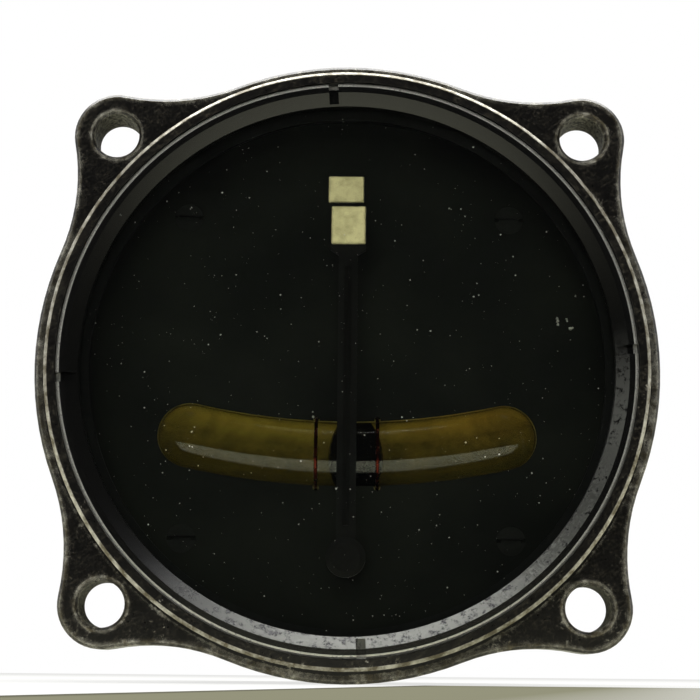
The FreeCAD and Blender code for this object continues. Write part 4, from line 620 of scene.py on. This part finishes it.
@dataclass(frozen=True)
class LuminousPaint(Finish):
    """Old luminous paint: thick, chalky and yellow green, with pits and grains of its powder."""

    paint: str = "#bdb384"
    grime: str = "#6f6c45"
    grain: float = 0.22

    def surface(self, g: Graph, place: NodeSocket) -> Node:
        """Adds the shader. See Finish."""
        powder = g.noise(place, self.grain, 4.0, 0.6)
        cloud = g.noise(place, 1.6, 5.0, 0.65)
        cells = g.add("TexVoronoi", {}, Vector=place, Scale=1 / (0.55 * MM))
        pits = g.ramp(cells.outputs["Distance"], 0.05, 0.16, 1.0, 0.0)
        dirt = g.ramp(cloud, 0.44, 0.72, 0.0, 0.55)
        dirt = g.math("MAXIMUM", dirt, g.math("MULTIPLY", pits, 0.55))
        colour = g.mix(dirt, self.paint, self.grime)
        sunk = g.math("SUBTRACT", powder, pits)
        bump = g.add("Bump", {}, Strength=0.5, Distance=0.05 * MM, Height=sunk)
        return g.add("BsdfPrincipled", {}, Base_Color=colour, Roughness=0.85, Normal=bump)


@dataclass(frozen=True)
class AgedBacking(Finish):
    """Luminous paint behind the liquid: browned to amber, with painted light along its upper edge.

    Its painted light and shade follow the tube's curve: it is bright down to bright_to mm above
    the arc and dark from dark_from mm above it, as the liquid magnifies a narrow strip over the
    tube's height. The right half is warmer, and both ends are darker.
    """

    # upper is painted light and lower is painted shade, over the paint's browned colour
    upper: str = "#8e8845"
    lower: str = "#6b6433"
    warm: str = "#9d8842"
    stain: str = "#453d1a"
    arc: TubeArc = TubeArc()
    bright_to: float = 1.276
    dark_from: float = 0.176
    warm_at: float = 20.0
    ends_from: float = 17.0
    ends_to: float = 24.0

    def surface(self, g: Graph, place: NodeSocket) -> Node:
        """Adds the shader. See Finish."""
        radius = self.arc.curve_radius
        # painted light and shade: bright along the upper edge and darker downwards, as light falls
        # from above
        down = g.ramp(self.arc.reach(g, place), (radius - self.bright_to) * MM,
                      (radius - self.dark_from) * MM)
        side = g.add("SeparateXYZ", {}, place).outputs["X"]
        right = g.ramp(side, 0.0, self.warm_at * MM)
        top = g.mix(right, self.upper, self.warm)
        off_middle = g.math("ABSOLUTE", side)
        ends = g.ramp(off_middle, self.ends_from * MM, self.ends_to * MM, 0.0, 0.75)
        down = g.math("MAXIMUM", down, ends)
        shade = g.mix(down, top, self.lower)
        streak = g.vector("MULTIPLY", place, (0.3, 1, 1.4))
        mottle = g.noise(streak, 1.1, 5.0, 0.7)
        spot = g.ramp(mottle, 0.4, 0.65, 0.0, 0.5)
        colour = g.mix(spot, shade, self.stain)
        bump = g.add("Bump", {}, Strength=0.3, Distance=0.04 * MM, Height=mottle)
        return g.add("BsdfPrincipled", {}, Base_Color=colour, Roughness=0.8, Normal=bump)


@dataclass(frozen=True)
class MatteDial(Finish):
    """Dull black dial paint with a fine tooth and faint greenish clouds of painted reflection."""

    paint: str = "#0b0d0a"
    # cloud is the greenish colour of the painted reflection
    cloud: str = "#12140f"
    tooth: float = 0.18

    def surface(self, g: Graph, place: NodeSocket) -> Node:
        """Adds the shader. See Finish."""
        drift = g.noise(place, 14.0, 4.0, 0.6)
        tooth = g.noise(place, self.tooth, 3.0, 0.6)
        # painted reflection: greenish clouds that stand for the haze the cover glass reflects over
        # the dial
        painted_haze = g.ramp(drift, 0.38, 0.66)
        colour = g.mix(painted_haze, self.paint, self.cloud)
        bump = g.add("Bump", {}, Strength=0.25, Distance=0.02 * MM, Height=tooth)
        return g.add("BsdfPrincipled", {}, Base_Color=colour, Roughness=0.78, Normal=bump,
                     Specular_IOR_Level=0.2)


@dataclass(frozen=True)
class WorkedMetal(Finish):
    """A bare or blackened metal whose fine lines follow how it was worked.

    Turned faces carry rings, drawn and filed ones lines along X, and cast ones only pits.
    """

    colour: str
    tarnish: str
    roughness: float = 0.32
    metallic: float = 1.0
    grain: Grain = Grain.CAST
    pitch: float = 0.12
    tarnished: float = 0.45

    def surface(self, g: Graph, place: NodeSocket) -> Node:
        """Adds the shader. See Finish."""
        cloud = g.noise(place, 2.0, 5.0, 0.65)
        dull = g.ramp(cloud, 0.42, 0.68, 0.0, self.tarnished)
        colour = g.mix(dull, self.colour, self.tarnish)
        rough = g.ramp(cloud, 0.35, 0.7, self.roughness - 0.06, self.roughness + 0.14)
        bump = g.add("Bump", {}, Strength=0.35, Distance=0.01 * MM, Height=self.lines(g, place))
        return g.add("BsdfPrincipled", {}, Base_Color=colour, Roughness=rough, Normal=bump,
                     Metallic=self.metallic)

    def lines(self, g: Graph, place: NodeSocket) -> Node:
        """Adds the height of the fine lines for the metal's grain.

        Args:
            g: The material's graph.
            place: Object coordinates.

        Returns:
            The node that gives the height.
        """
        if self.grain is Grain.TURNED:
            across = plane_distance(g, place)
            turn = g.math("MULTIPLY", across, 2 * math.pi / (self.pitch * MM))
            return g.math("SINE", turn)
        if self.grain is Grain.DRAWN:
            long = g.vector("MULTIPLY", place, (0.06, 1, 1))
            return g.noise(long, self.pitch, 2.0)
        return g.noise(place, 0.35, 4.0, 0.6)


@dataclass(frozen=True)
class PlainBody(Finish):
    """A dense body of one colour, such as rubber, fibre, black glass or plain paint."""

    colour: str
    shade: str
    roughness: float
    grain: float = 0.6
    relief: float = 0.02
    gleam: float = 0.5

    def surface(self, g: Graph, place: NodeSocket) -> Node:
        """Adds the shader. See Finish."""
        cloud = g.noise(place, self.grain, 4.0, 0.6)
        tone = g.ramp(cloud, 0.35, 0.65)
        colour = g.mix(tone, self.colour, self.shade)
        bump = g.add("Bump", {}, Strength=0.3, Distance=self.relief * MM, Height=cloud)
        return g.add("BsdfPrincipled", {}, Base_Color=colour, Roughness=self.roughness,
                     Specular_IOR_Level=self.gleam, Normal=bump)


def skin(rings: np.ndarray, first: np.ndarray, last: np.ndarray) -> tuple[np.ndarray, list]:
    """Closes a stack of rings of points with a pole at each end.

    Ring i and ring i + 1 are joined by quads (i, j), (i, j + 1), (i + 1, j + 1), (i + 1, j), with
    j taken round the ring, and each pole joins its ring by triangles.

    Args:
        rings: Points as an array of rings, points and coordinates.
        first: The pole before the first ring.
        last: The pole after the last ring.

    Returns:
        The points, and the faces turned outwards.
    """
    count, sides, _ = rings.shape
    points = np.concatenate([rings.reshape(-1, 3), first[None], last[None]])
    j = np.arange(sides)
    k = (j + 1) % sides
    start = np.arange(count - 1)[:, None] * sides
    quads = np.stack([start + j, start + k, start + sides + k, start + sides + j], -1)
    quads = quads.reshape(-1, 4)
    pole, end = count * sides, (count - 1) * sides
    caps = np.concatenate([np.stack([np.full(sides, pole), k, j], -1),
                           np.stack([np.full(sides, pole + 1), end + j, end + k], -1)])
    fans = np.concatenate([quads[:, [0, 1, 2]], quads[:, [0, 2, 3]], caps])
    a, b, c = (points[fans[:, i]] for i in range(3))
    turned = float(np.einsum("ij,ij->i", a, np.cross(b, c)).sum()) < 0
    order = slice(None, None, -1) if turned else slice(None)
    return points, [*quads[:, order].tolist(), *caps[:, order].tolist()]


def make_piece(name: str, points: np.ndarray, faces: list, body: str,
               material: Material, replaces: Sequence[str] = ()) -> Object:
    """Makes a piece from points in mm, dresses it and ties it to its body.

    Args:
        name: The piece's name.
        points: Its points, in mm in the part's frame.
        faces: Its faces, by point.
        body: The CAD body that it rides on.
        material: Its finish.
        replaces: The CAD nodes that it stands for.

    Returns:
        The piece.
    """
    mesh = bpy.data.meshes.new(name)
    mesh.from_pydata((points * MM).tolist(), [], faces)
    mesh.polygons.foreach_set("use_smooth", np.ones(len(mesh.polygons), bool))
    mesh.materials.append(material)
    mesh.update()
    piece = bpy.data.objects.new(name, mesh)
    bpy.context.scene.collection.objects.link(piece)
    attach(piece, body)
    if replaces:
        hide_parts(*replaces)
    log.info("%s: %d points, %d faces", name, len(points), len(faces))
    return piece


def dress(material: Material, *nodes: str) -> None:
    """Puts a finish on CAD nodes.

    Args:
        material: The finish.
        nodes: The nodes' names.
    """
    for name in nodes:
        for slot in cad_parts[name].material_slots:
            slot.material = material
    log.info("%s on %s", material.name, ", ".join(nodes))


@dataclass
class CaseAssembly:
    """The cast case, the ring that holds the glass in, and the rear cover and plug."""

    # the barrel's front chamfer: bare metal that also carries a painted glint
    lines: tuple[WornLine, ...] = (WornLine(39.28, 39.8, -2.2, 1.0),)

    def build(self) -> None:
        """Dresses the case's nodes."""
        dress(StovedEnamel("stoved_enamel_case", lines=self.lines).build(), "case_body")
        dress(ScuffedRing("stoved_enamel_ring").build(), "retaining_ring")
        dress(StovedEnamel("stoved_enamel_rear", clean_inner=0.0, wear=0.7).build(),
              "rear_cover", "access_plug")
        dress(PlainBody("moulded_rubber", "#0c0d0c", "#131412", 0.75, gleam=0.25).build(),
              "glass_gasket", "rear_gasket")
        dress(PlainBody("vulcanised_fibre", "#7a2f1c", "#5b2216", 0.65).build(), "plug_washer")


def flecks_at(centres: np.ndarray, radii: np.ndarray, rng: np.random.Generator,
              sides: int) -> tuple[np.ndarray, list]:
    """Works out flat double cones, one for each fleck.

    Rim point k lies at radius * g_k * (cos, sin)(2 pi k / sides), with g_k drawn from 0.6 to
    1.3, and the two tips lie on the surface and a fifth of the radius in front of it.

    Args:
        centres: Where the flecks are, in mm.
        radii: Their radii, in mm.
        rng: The source of chance.
        sides: How many rim points each has.

    Returns:
        The points and faces of all flecks.
    """
    count = len(radii)
    turn = np.linspace(0, 2 * math.pi, sides, endpoint=False)
    reach = radii[:, None] * rng.uniform(0.6, 1.3, (count, sides))
    rim = np.stack([reach * np.cos(turn), np.zeros_like(reach), reach * np.sin(turn)], -1)
    tips = np.zeros((count, 2, 3))
    tips[:, 0, 1] = -radii / 5
    points = np.concatenate([rim, tips], 1) + centres[:, None] + np.array([0, -0.004, 0])
    k = np.arange(sides)
    following = (k + 1) % sides
    front = np.stack([k, following, np.full(sides, sides)], -1)
    back = np.stack([following, k, np.full(sides, sides + 1)], -1)
    one = np.concatenate([front, back])
    faces = one[None] + (np.arange(count) * (sides + 2))[:, None, None]
    return points.reshape(-1, 3), faces.reshape(-1, 3).tolist()


@dataclass
class FrontGlass:
    """The cover glass and the dust that lies on it."""

    face: float = 0.3
    clear_radius: float = 35.0
    flecks: int = 620
    sides: int = 6

    def build(self, body: str) -> None:
        """Dresses the glass and scatters the dust.

        Args:
            body: The body that the dust rides on.
        """
        dress(ClearGlass("window_glass").build(), "cover_glass")
        rng = np.random.default_rng(SEED)
        reach = self.clear_radius * np.sqrt(rng.uniform(0, 1, self.flecks))
        turn = rng.uniform(0, 2 * math.pi, self.flecks)
        face = np.full(self.flecks, self.face)
        centres = np.stack([reach * np.cos(turn), face, reach * np.sin(turn)], -1)
        radii = 0.03 + 0.1 * rng.uniform(0, 1, self.flecks) ** 4
        points, faces = flecks_at(centres, radii, rng, self.sides)
        dust = PlainBody("lint_and_dust", "#c4c4b8", "#7d7d74", 0.9, grain=0.1).build()
        make_piece("dust_on_glass", points, faces, body, dust)


@dataclass
class PaintPatch:
    """A thick patch of paint on a plate: a rounded oblong, crowned, with an uneven outline."""

    left: float
    right: float
    bottom: float
    top: float
    front: float
    back: float
    wave: float = 0.04
    rings: int = 20
    sides: int = 160
    squareness: float = 30.0
    shoulder: float = 22.0

    def surface(self, seed: int) -> tuple[np.ndarray, list]:
        """Works out the patch.

        The outline is the superellipse |x / a|^n + |z / b|^n = 1 with n the squareness, pulled in
        by a sum of sines up to wave. Ring s of the front lies at s times the outline and at a
        depth of front + (back - front) s^m with m the shoulder. The back is flat.

        Args:
            seed: Sets the sines of the outline.

        Returns:
            The points and faces.
        """
        rng = np.random.default_rng(SEED + seed)
        turn = np.linspace(0, 2 * math.pi, self.sides, endpoint=False)
        half = np.array([(self.right - self.left) / 2, (self.top - self.bottom) / 2])
        reach = (np.abs(np.cos(turn)) ** self.squareness
                 + np.abs(np.sin(turn)) ** self.squareness) ** (-1 / self.squareness)
        outline = np.stack([reach * np.cos(turn), reach * np.sin(turn)], -1) * half
        waves = np.arange(3, 17)
        phases = rng.uniform(0, 2 * math.pi, len(waves))
        sizes = rng.uniform(0.3, 1.0, len(waves)) / len(waves)
        pull = (sizes * (1 + np.sin(waves * turn[:, None] + phases))).sum(1) * self.wave
        outline *= (1 - pull / half.min())[:, None]
        share = np.linspace(0, 1, self.rings + 1)[1:]
        depth = self.front + (self.back - self.front) * share ** self.shoulder
        front = np.zeros((self.rings, self.sides, 3))
        front[..., 0] = share[:, None] * outline[:, 0]
        front[..., 2] = share[:, None] * outline[:, 1]
        front[..., 1] = depth[:, None]
        middle = np.array([(self.left + self.right) / 2, 0, (self.bottom + self.top) / 2])
        inner = front[-1:] * np.array([0.5, 1, 0.5])
        rings = np.concatenate([front, inner]) + middle
        tips = middle + np.array([[0, self.front, 0], [0, self.back, 0]])
        return skin(rings, tips[0], tips[1])


def patch_over(node: str, **changes: float) -> PaintPatch:
    """Makes a paint patch that fills a CAD node's box.

    Args:
        node: The node's name.
        changes: Fields of the patch that differ from their defaults.

    Returns:
        The patch.
    """
    low, high = (np.array(corner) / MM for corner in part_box(node))
    return PaintPatch(low[0], high[0], low[2], high[2], low[1], high[1], **changes)


@dataclass
class Dial:
    """The dial plate with its index, and the small marks of use on it.

    Each chip is a spot of bared plate: its x and z on the dial and its radius, in mm.
    """

    chips: tuple[tuple[float, float, float], ...] = (
        (28.75, 8.35, 0.2), (28.8, 7.95, 0.24), (28.85, 7.5, 0.2), (30.05, 8.3, 0.16),
        (30.1, 8.0, 0.16), (30.6, 6.99, 0.3), (30.85, 7.1, 0.2), (31.31, 11.54, 0.14),
        (13.95, 23.82, 0.16), (14.2, 23.75, 0.1), (-4.6, -5.6, 0.18), (-4.7, -4.9, 0.12),
        (24.4, -13.6, 0.1), (-17.5, 14.0, 0.08))
    sides: int = 7

    def build(self, body: str, paint: Material) -> None:
        """Dresses the dial and adds its index.

        Args:
            body: The body that the new pieces ride on.
            paint: The luminous paint.
        """
        dress(MatteDial("matte_dial_paint").build(), "dial_plate", "tube_bracket")
        steel = PlainBody("painted_screw_heads", "#0d0e0c", "#151613", 0.6, gleam=0.25).build()
        dress(steel, "dial_screws", "bracket_screws")
        points, faces = patch_over("top_index").surface(1)
        make_piece("index_paint", points, faces, body, paint, ["top_index"])
        spots = np.array(self.chips)
        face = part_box("dial_plate")[0][1] / MM
        centres = np.stack([spots[:, 0], np.full(len(spots), face), spots[:, 1]], -1)
        rng = np.random.default_rng(SEED + 3)
        points, faces = flecks_at(centres, spots[:, 2], rng, self.sides)
        bare = PlainBody("bared_dial_metal", "#a9a99c", "#86867b", 0.7, grain=0.2).build()
        make_piece("dial_chips", points, faces, body, bare)


@dataclass
class Inclinometer:
    """The curved tube of liquid with its ball, marker wires and painted backing."""

    arc: TubeArc = TubeArc()
    half_angle: float = 12.6
    steps: int = 96
    cap_steps: int = 20
    sides: int = 64

    def build(self, body: str) -> None:
        """Builds the filled tube and dresses its neighbours.

        Args:
            body: The body that the tube rides on.
        """
        liquid = PaintedShadeTube("tube_glass_and_liquid", self.arc).build()
        points, faces = self.tube()
        make_piece("filled_tube", points, faces, body, liquid, ["inclinometer_tube"])
        dress(AgedBacking("browned_luminous_paint", arc=self.arc).build(), "tube_backing")
        dress(PlainBody("black_glass_ball", "#040404", "#050505", 0.06).build(),
              "inclinometer_ball")
        dress(WorkedMetal("copper_wire", "#7a3326", "#1d100c", 0.22).build(), "marker_wires")

    def tube(self) -> tuple[np.ndarray, list]:
        """Works out the tube as one solid of glass and liquid.

        At angle a the axis is C(a) = (R sin a, station, height - R cos a), its direction is
        T = (cos a, 0, sin a) and its inner side N = (-sin a, 0, cos a). The skin is
        C + r cos p (N cos t + Y sin t) + r sin p T, with p from -90 to 0 degrees over the first
        ball end, 0 along the run and 0 to 90 over the last.

        Returns:
            The points and faces.
        """
        arc, limit = self.arc, math.radians(self.half_angle)
        cap = np.linspace(-math.pi / 2, 0, self.cap_steps + 1)[1:-1]
        angle = np.concatenate([np.full(len(cap), -limit), np.linspace(-limit, limit, self.steps),
                                np.full(len(cap), limit)])
        rise = np.concatenate([cap, np.zeros(self.steps), -cap[::-1]])
        turn = np.linspace(0, 2 * math.pi, self.sides, endpoint=False)
        zero = np.zeros_like(angle)
        station = np.full_like(angle, arc.axis_station)
        centre = np.stack([arc.curve_radius * np.sin(angle), station,
                           arc.centre_height - arc.curve_radius * np.cos(angle)], -1)
        along = np.stack([np.cos(angle), zero, np.sin(angle)], -1)
        inner = np.stack([-np.sin(angle), zero, np.cos(angle)], -1)
        round_way = (inner[:, None] * np.cos(turn)[:, None]
                     + np.array([0, 1, 0]) * np.sin(turn)[:, None])
        spine = centre + arc.radius * np.sin(rise)[:, None] * along
        rings = spine[:, None] + arc.radius * np.cos(rise)[:, None, None] * round_way
        tips = [centre[i] + side * arc.radius * along[i] for i, side in ((0, -1), (-1, 1))]
        return skin(rings, *tips)


@dataclass
class Pointer:
    """The turn pointer with its painted head, hub and staff."""

    def build(self, body: str, paint: Material) -> None:
        """Dresses the pointer and paints its head.

        Args:
            body: The body that the pointer's paint rides on.
            paint: The luminous paint.
        """
        steel = PlainBody("blackened_pointer_steel", "#090908", "#0e0e0c", 0.5, gleam=0.25).build()
        dress(steel, "turn_pointer", "pointer_hub")
        points, faces = patch_over("pointer_lume", wave=0.07).surface(2)
        make_piece("pointer_paint", points, faces, body, paint, ["pointer_lume"])


@dataclass
class Mechanism:
    """The gyro, its gimbal and frame, the damper and the linkage behind the dial."""

    def build(self) -> None:
        """Dresses the mechanism's nodes."""
        brass = WorkedMetal("turned_brass", "#b8924a", "#7c5f2c", 0.28, grain=Grain.TURNED,
                            pitch=0.2)
        steel = WorkedMetal("ground_steel", "#a9a9a6", "#77736a", 0.26, grain=Grain.DRAWN)
        plate = WorkedMetal("milled_aluminium", "#b4b5b3", "#8e8f8c", 0.36, grain=Grain.DRAWN,
                            pitch=0.2)
        dress(brass.build(), "pointer_bush", "pointer_balance_weight", "gimbal_bearing_front",
              "gimbal_bearing_rear", "rotor_bearings", "bearing_caps", "rotor_wheel",
              "damper_cylinder", "air_nozzle", "nozzle_nut", "pillar_nuts", "gimbal_counterweight")
        dress(steel.build(), "pointer_staff", "plate_screws", "gimbal_pivots", "drive_arm",
              "spring_post", "link_arm", "rotor_shaft", "damper_screws", "damper_valve_screw",
              "centring_spring", "sensitivity_screw", "gimbal_stop_pins")
        dress(plate.build(), "dial_pillars", "mechanism_plate", "frame_pillars",
              "rear_frame_plate", "gimbal_frame", "fork_lever", "damper_piston", "spring_anchor")


@dataclass
class RearEnd:
    """The fittings on the rear cover: the suction union, the air inlet and the screws."""

    def build(self) -> None:
        """Dresses the rear fittings."""
        brass = WorkedMetal("tarnished_brass", "#a98545", "#806438", 0.38, tarnished=0.6)
        steel = WorkedMetal("zinc_plated_steel", "#9c9d9a", "#6f6c63", 0.3)
        dress(brass.build(), "suction_fitting", "screen_support")
        dress(steel.build(), "rear_screws", "inlet_snap_ring", "inlet_screen")


@dataclass
class Studio:
    """The camera, the lamps, the surroundings and the floor.

    Places and sizes of the camera and lamps are in metres, the lens in mm, and what lies on the
    floor in mm.
    """

    camera_place: tuple[float, float, float] = (0.001762, -0.232163, -0.040199)
    camera_way: tuple[float, float, float] = (-0.00591, 0.98376, 0.17939)
    camera_roll: float = 0.55
    lens: float = 91.82
    sensor: float = 36.0
    nearest: float = 0.01
    lamp_place: tuple[float, float, float] = (0.0, 0.09, 0.5)
    lamp_size: tuple[float, float] = (0.7, 0.38)
    lamp_power: float = 5.0
    fill_place: tuple[float, float, float] = (-0.1, -0.8, 0.35)
    fill_size: float = 0.6
    fill_power: float = 4.4
    room_light: float = 0.42
    dark_room: float = 0.012
    sheet: str = "#f4f4f2"
    # painted shadow: the dark colour on the table just past the sheet's edge, where the edge
    # shades it
    sheet_edge_shadow: str = "#5f5e50"
    table: str = "#8b8a74"
    mirrored_sheet: str = "#f0f0d6"
    mirrored_room: str = "#1a1a18"
    sheet_edge: float = -50.0
    table_lean: float = 0.19
    table_line: float = 10.3
    # painted light: the table fades to white towards the right
    table_fade: tuple[float, float] = (24.0, 54.0)
    floor_shown: float = 0.8
    floor_reach: float = 3.0

    def build(self) -> None:
        """Sets up the whole studio."""
        bpy.context.scene.view_settings.view_transform = "Standard"
        self.add_camera()
        self.add_world()
        self.add_lamp("overhead_lamp", self.lamp_place, self.lamp_size, self.lamp_power, True)
        self.add_lamp("front_fill", self.fill_place, (self.fill_size, self.fill_size),
                      self.fill_power, False)
        self.add_floor(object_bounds()[0][2])

    def add_camera(self) -> None:
        """Adds the camera where the photograph was taken from."""
        data = bpy.data.cameras.new("camera")
        data.lens = self.lens
        data.sensor_width = self.sensor
        data.clip_start = self.nearest
        camera = bpy.data.objects.new("camera", data)
        bpy.context.scene.collection.objects.link(camera)
        upright = Vector(self.camera_way).to_track_quat("-Z", "Y").to_matrix().to_4x4()
        roll = Matrix.Rotation(math.radians(self.camera_roll), 4, "Z")
        camera.matrix_world = Matrix.Translation(self.camera_place) @ upright @ roll
        bpy.context.scene.camera = camera

    @staticmethod
    def shiny_rays(g: Graph) -> tuple[Node, Node]:
        """Adds the kinds of ray that matter here.

        Args:
            g: The graph of a material or the world.

        Returns:
            The node of ray kinds, and the node that is 1 for rays off or through shiny surfaces.
        """
        rays = g.add("LightPath")
        return rays, g.math("MAXIMUM", rays.outputs["Is Glossy Ray"],
                            rays.outputs["Is Transmission Ray"])

    def add_world(self) -> None:
        """Adds the surroundings: white to the camera and behind the part, dark in front of it."""
        world = bpy.data.worlds.new("studio")
        world.use_nodes = True
        bpy.context.scene.world = world
        g = Graph(world.node_tree)
        way = g.add("SeparateXYZ", {}, g.add("TexCoord").outputs["Generated"]).outputs["Y"]
        mirrored = g.ramp(way, -0.02, 0.12, self.dark_room, 1.0)
        rays, shiny = self.shiny_rays(g)
        level = g.blend(shiny, self.room_light, mirrored)
        level = g.blend(rays.outputs["Is Camera Ray"], level, 1.0)
        g.add("OutputWorld", {}, g.add("Background", {}, linear("#ffffff"), level))

    def add_lamp(self, name: str, place: Sequence[float], size: Sequence[float], power: float,
                 mirrored: bool) -> None:
        """Adds a soft rectangular lamp that points at the part's middle.

        Args:
            name: The lamp's name.
            place: Where it stands, in metres.
            size: Its width and height, in metres.
            power: Its power in watts.
            mirrored: Whether shiny surfaces show it.
        """
        data = bpy.data.lights.new(name, "AREA")
        data.shape = "RECTANGLE"
        data.size, data.size_y = size
        data.energy = power
        lamp = bpy.data.objects.new(name, data)
        bpy.context.scene.collection.objects.link(lamp)
        lamp.location = place
        lamp.rotation_euler = (-Vector(place)).to_track_quat("-Z", "Y").to_euler()
        lamp.visible_glossy = mirrored
        lamp.visible_transmission = mirrored
        lamp.visible_camera = False

    def add_floor(self, height: float) -> None:
        """Adds the floor: a white sheet under the part and a pale table in front of its edge.

        Args:
            height: The lowest point of the part, in metres.
        """
        mesh = bpy.data.meshes.new("floor")
        reach = self.floor_reach
        corners = [(-reach, -reach), (reach, -reach), (reach, reach), (-reach, reach)]
        mesh.from_pydata([(x, y, height) for x, y in corners], [], [(0, 1, 2, 3)])
        floor = bpy.data.objects.new("floor", mesh)
        bpy.context.scene.collection.objects.link(floor)
        mesh.materials.append(self.floor_finish())
        floor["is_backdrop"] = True

    def floor_finish(self) -> Material:
        """Makes the floor's sheet of paper and table, which keep the part's shadow.

        The sheet ends along the line x - table_lean * y = table_line, with a painted shadow of its
        edge on the table just past it, and painted light that fades the table to white towards the
        right.
        Shiny surfaces see the sheet up to sheet_edge, and a dark room in front of it.

        Returns:
            The material.
        """
        material, g = new_material("white_sheet_on_table")
        place = g.add("TexCoord").outputs["Object"]
        lean = g.vector("DOT_PRODUCT", place, (1, -self.table_lean, 0))
        past = g.math("SUBTRACT", lean, self.table_line * MM)
        front = g.add("SeparateXYZ", {}, place).outputs["Y"]
        # painted shadow of the sheet's edge, fading into the table colour over 1 to 4 mm
        edge_shadow = g.ramp(past, 1.0 * MM, 4.0 * MM)
        near = g.mix(edge_shadow, self.sheet_edge_shadow, self.table)
        fade_from, fade_to = self.table_fade
        # painted light: the table turns to the sheet's white further to the right
        far = g.ramp(past, fade_from * MM, fade_to * MM)
        table = g.mix(far, near, self.sheet)
        on_table = g.ramp(past, 0.0, 0.4 * MM)
        ahead = g.ramp(front, -3 * MM, 0.0, 1.0, 0.0)
        on_table = g.math("MULTIPLY", on_table, ahead)
        colour = g.mix(on_table, self.sheet, table)
        on_sheet = g.ramp(front, (self.sheet_edge - 0.5) * MM,
                          (self.sheet_edge + 0.5) * MM)
        mirrored = g.mix(on_sheet, self.mirrored_room, self.mirrored_sheet)
        rays, shiny = self.shiny_rays(g)
        colour = g.mix(shiny, colour, mirrored)
        lit = g.add("BsdfDiffuse", {}, colour)
        shown = g.add("Emission", {}, colour, 1.0)
        seen = g.math("MAXIMUM", rays.outputs["Is Camera Ray"], shiny)
        share = g.math("MULTIPLY", seen, self.floor_shown)
        g.add("OutputMaterial", {}, g.add("MixShader", {}, share, lit, shown))
        return material


def main() -> None:
    """Builds every sub-assembly in order, then the studio."""
    logging.basicConfig(level=logging.INFO, format="%(name)s: %(message)s")
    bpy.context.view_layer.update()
    paint = LuminousPaint("aged_luminous_paint").build()
    CaseAssembly().build()
    FrontGlass().build("case")
    Dial().build("case", paint)
    Inclinometer().build("case")
    Pointer().build("pointer", paint)
    Mechanism().build()
    RearEnd().build()
    Studio().build()


if __name__ == "__main__":
    main()
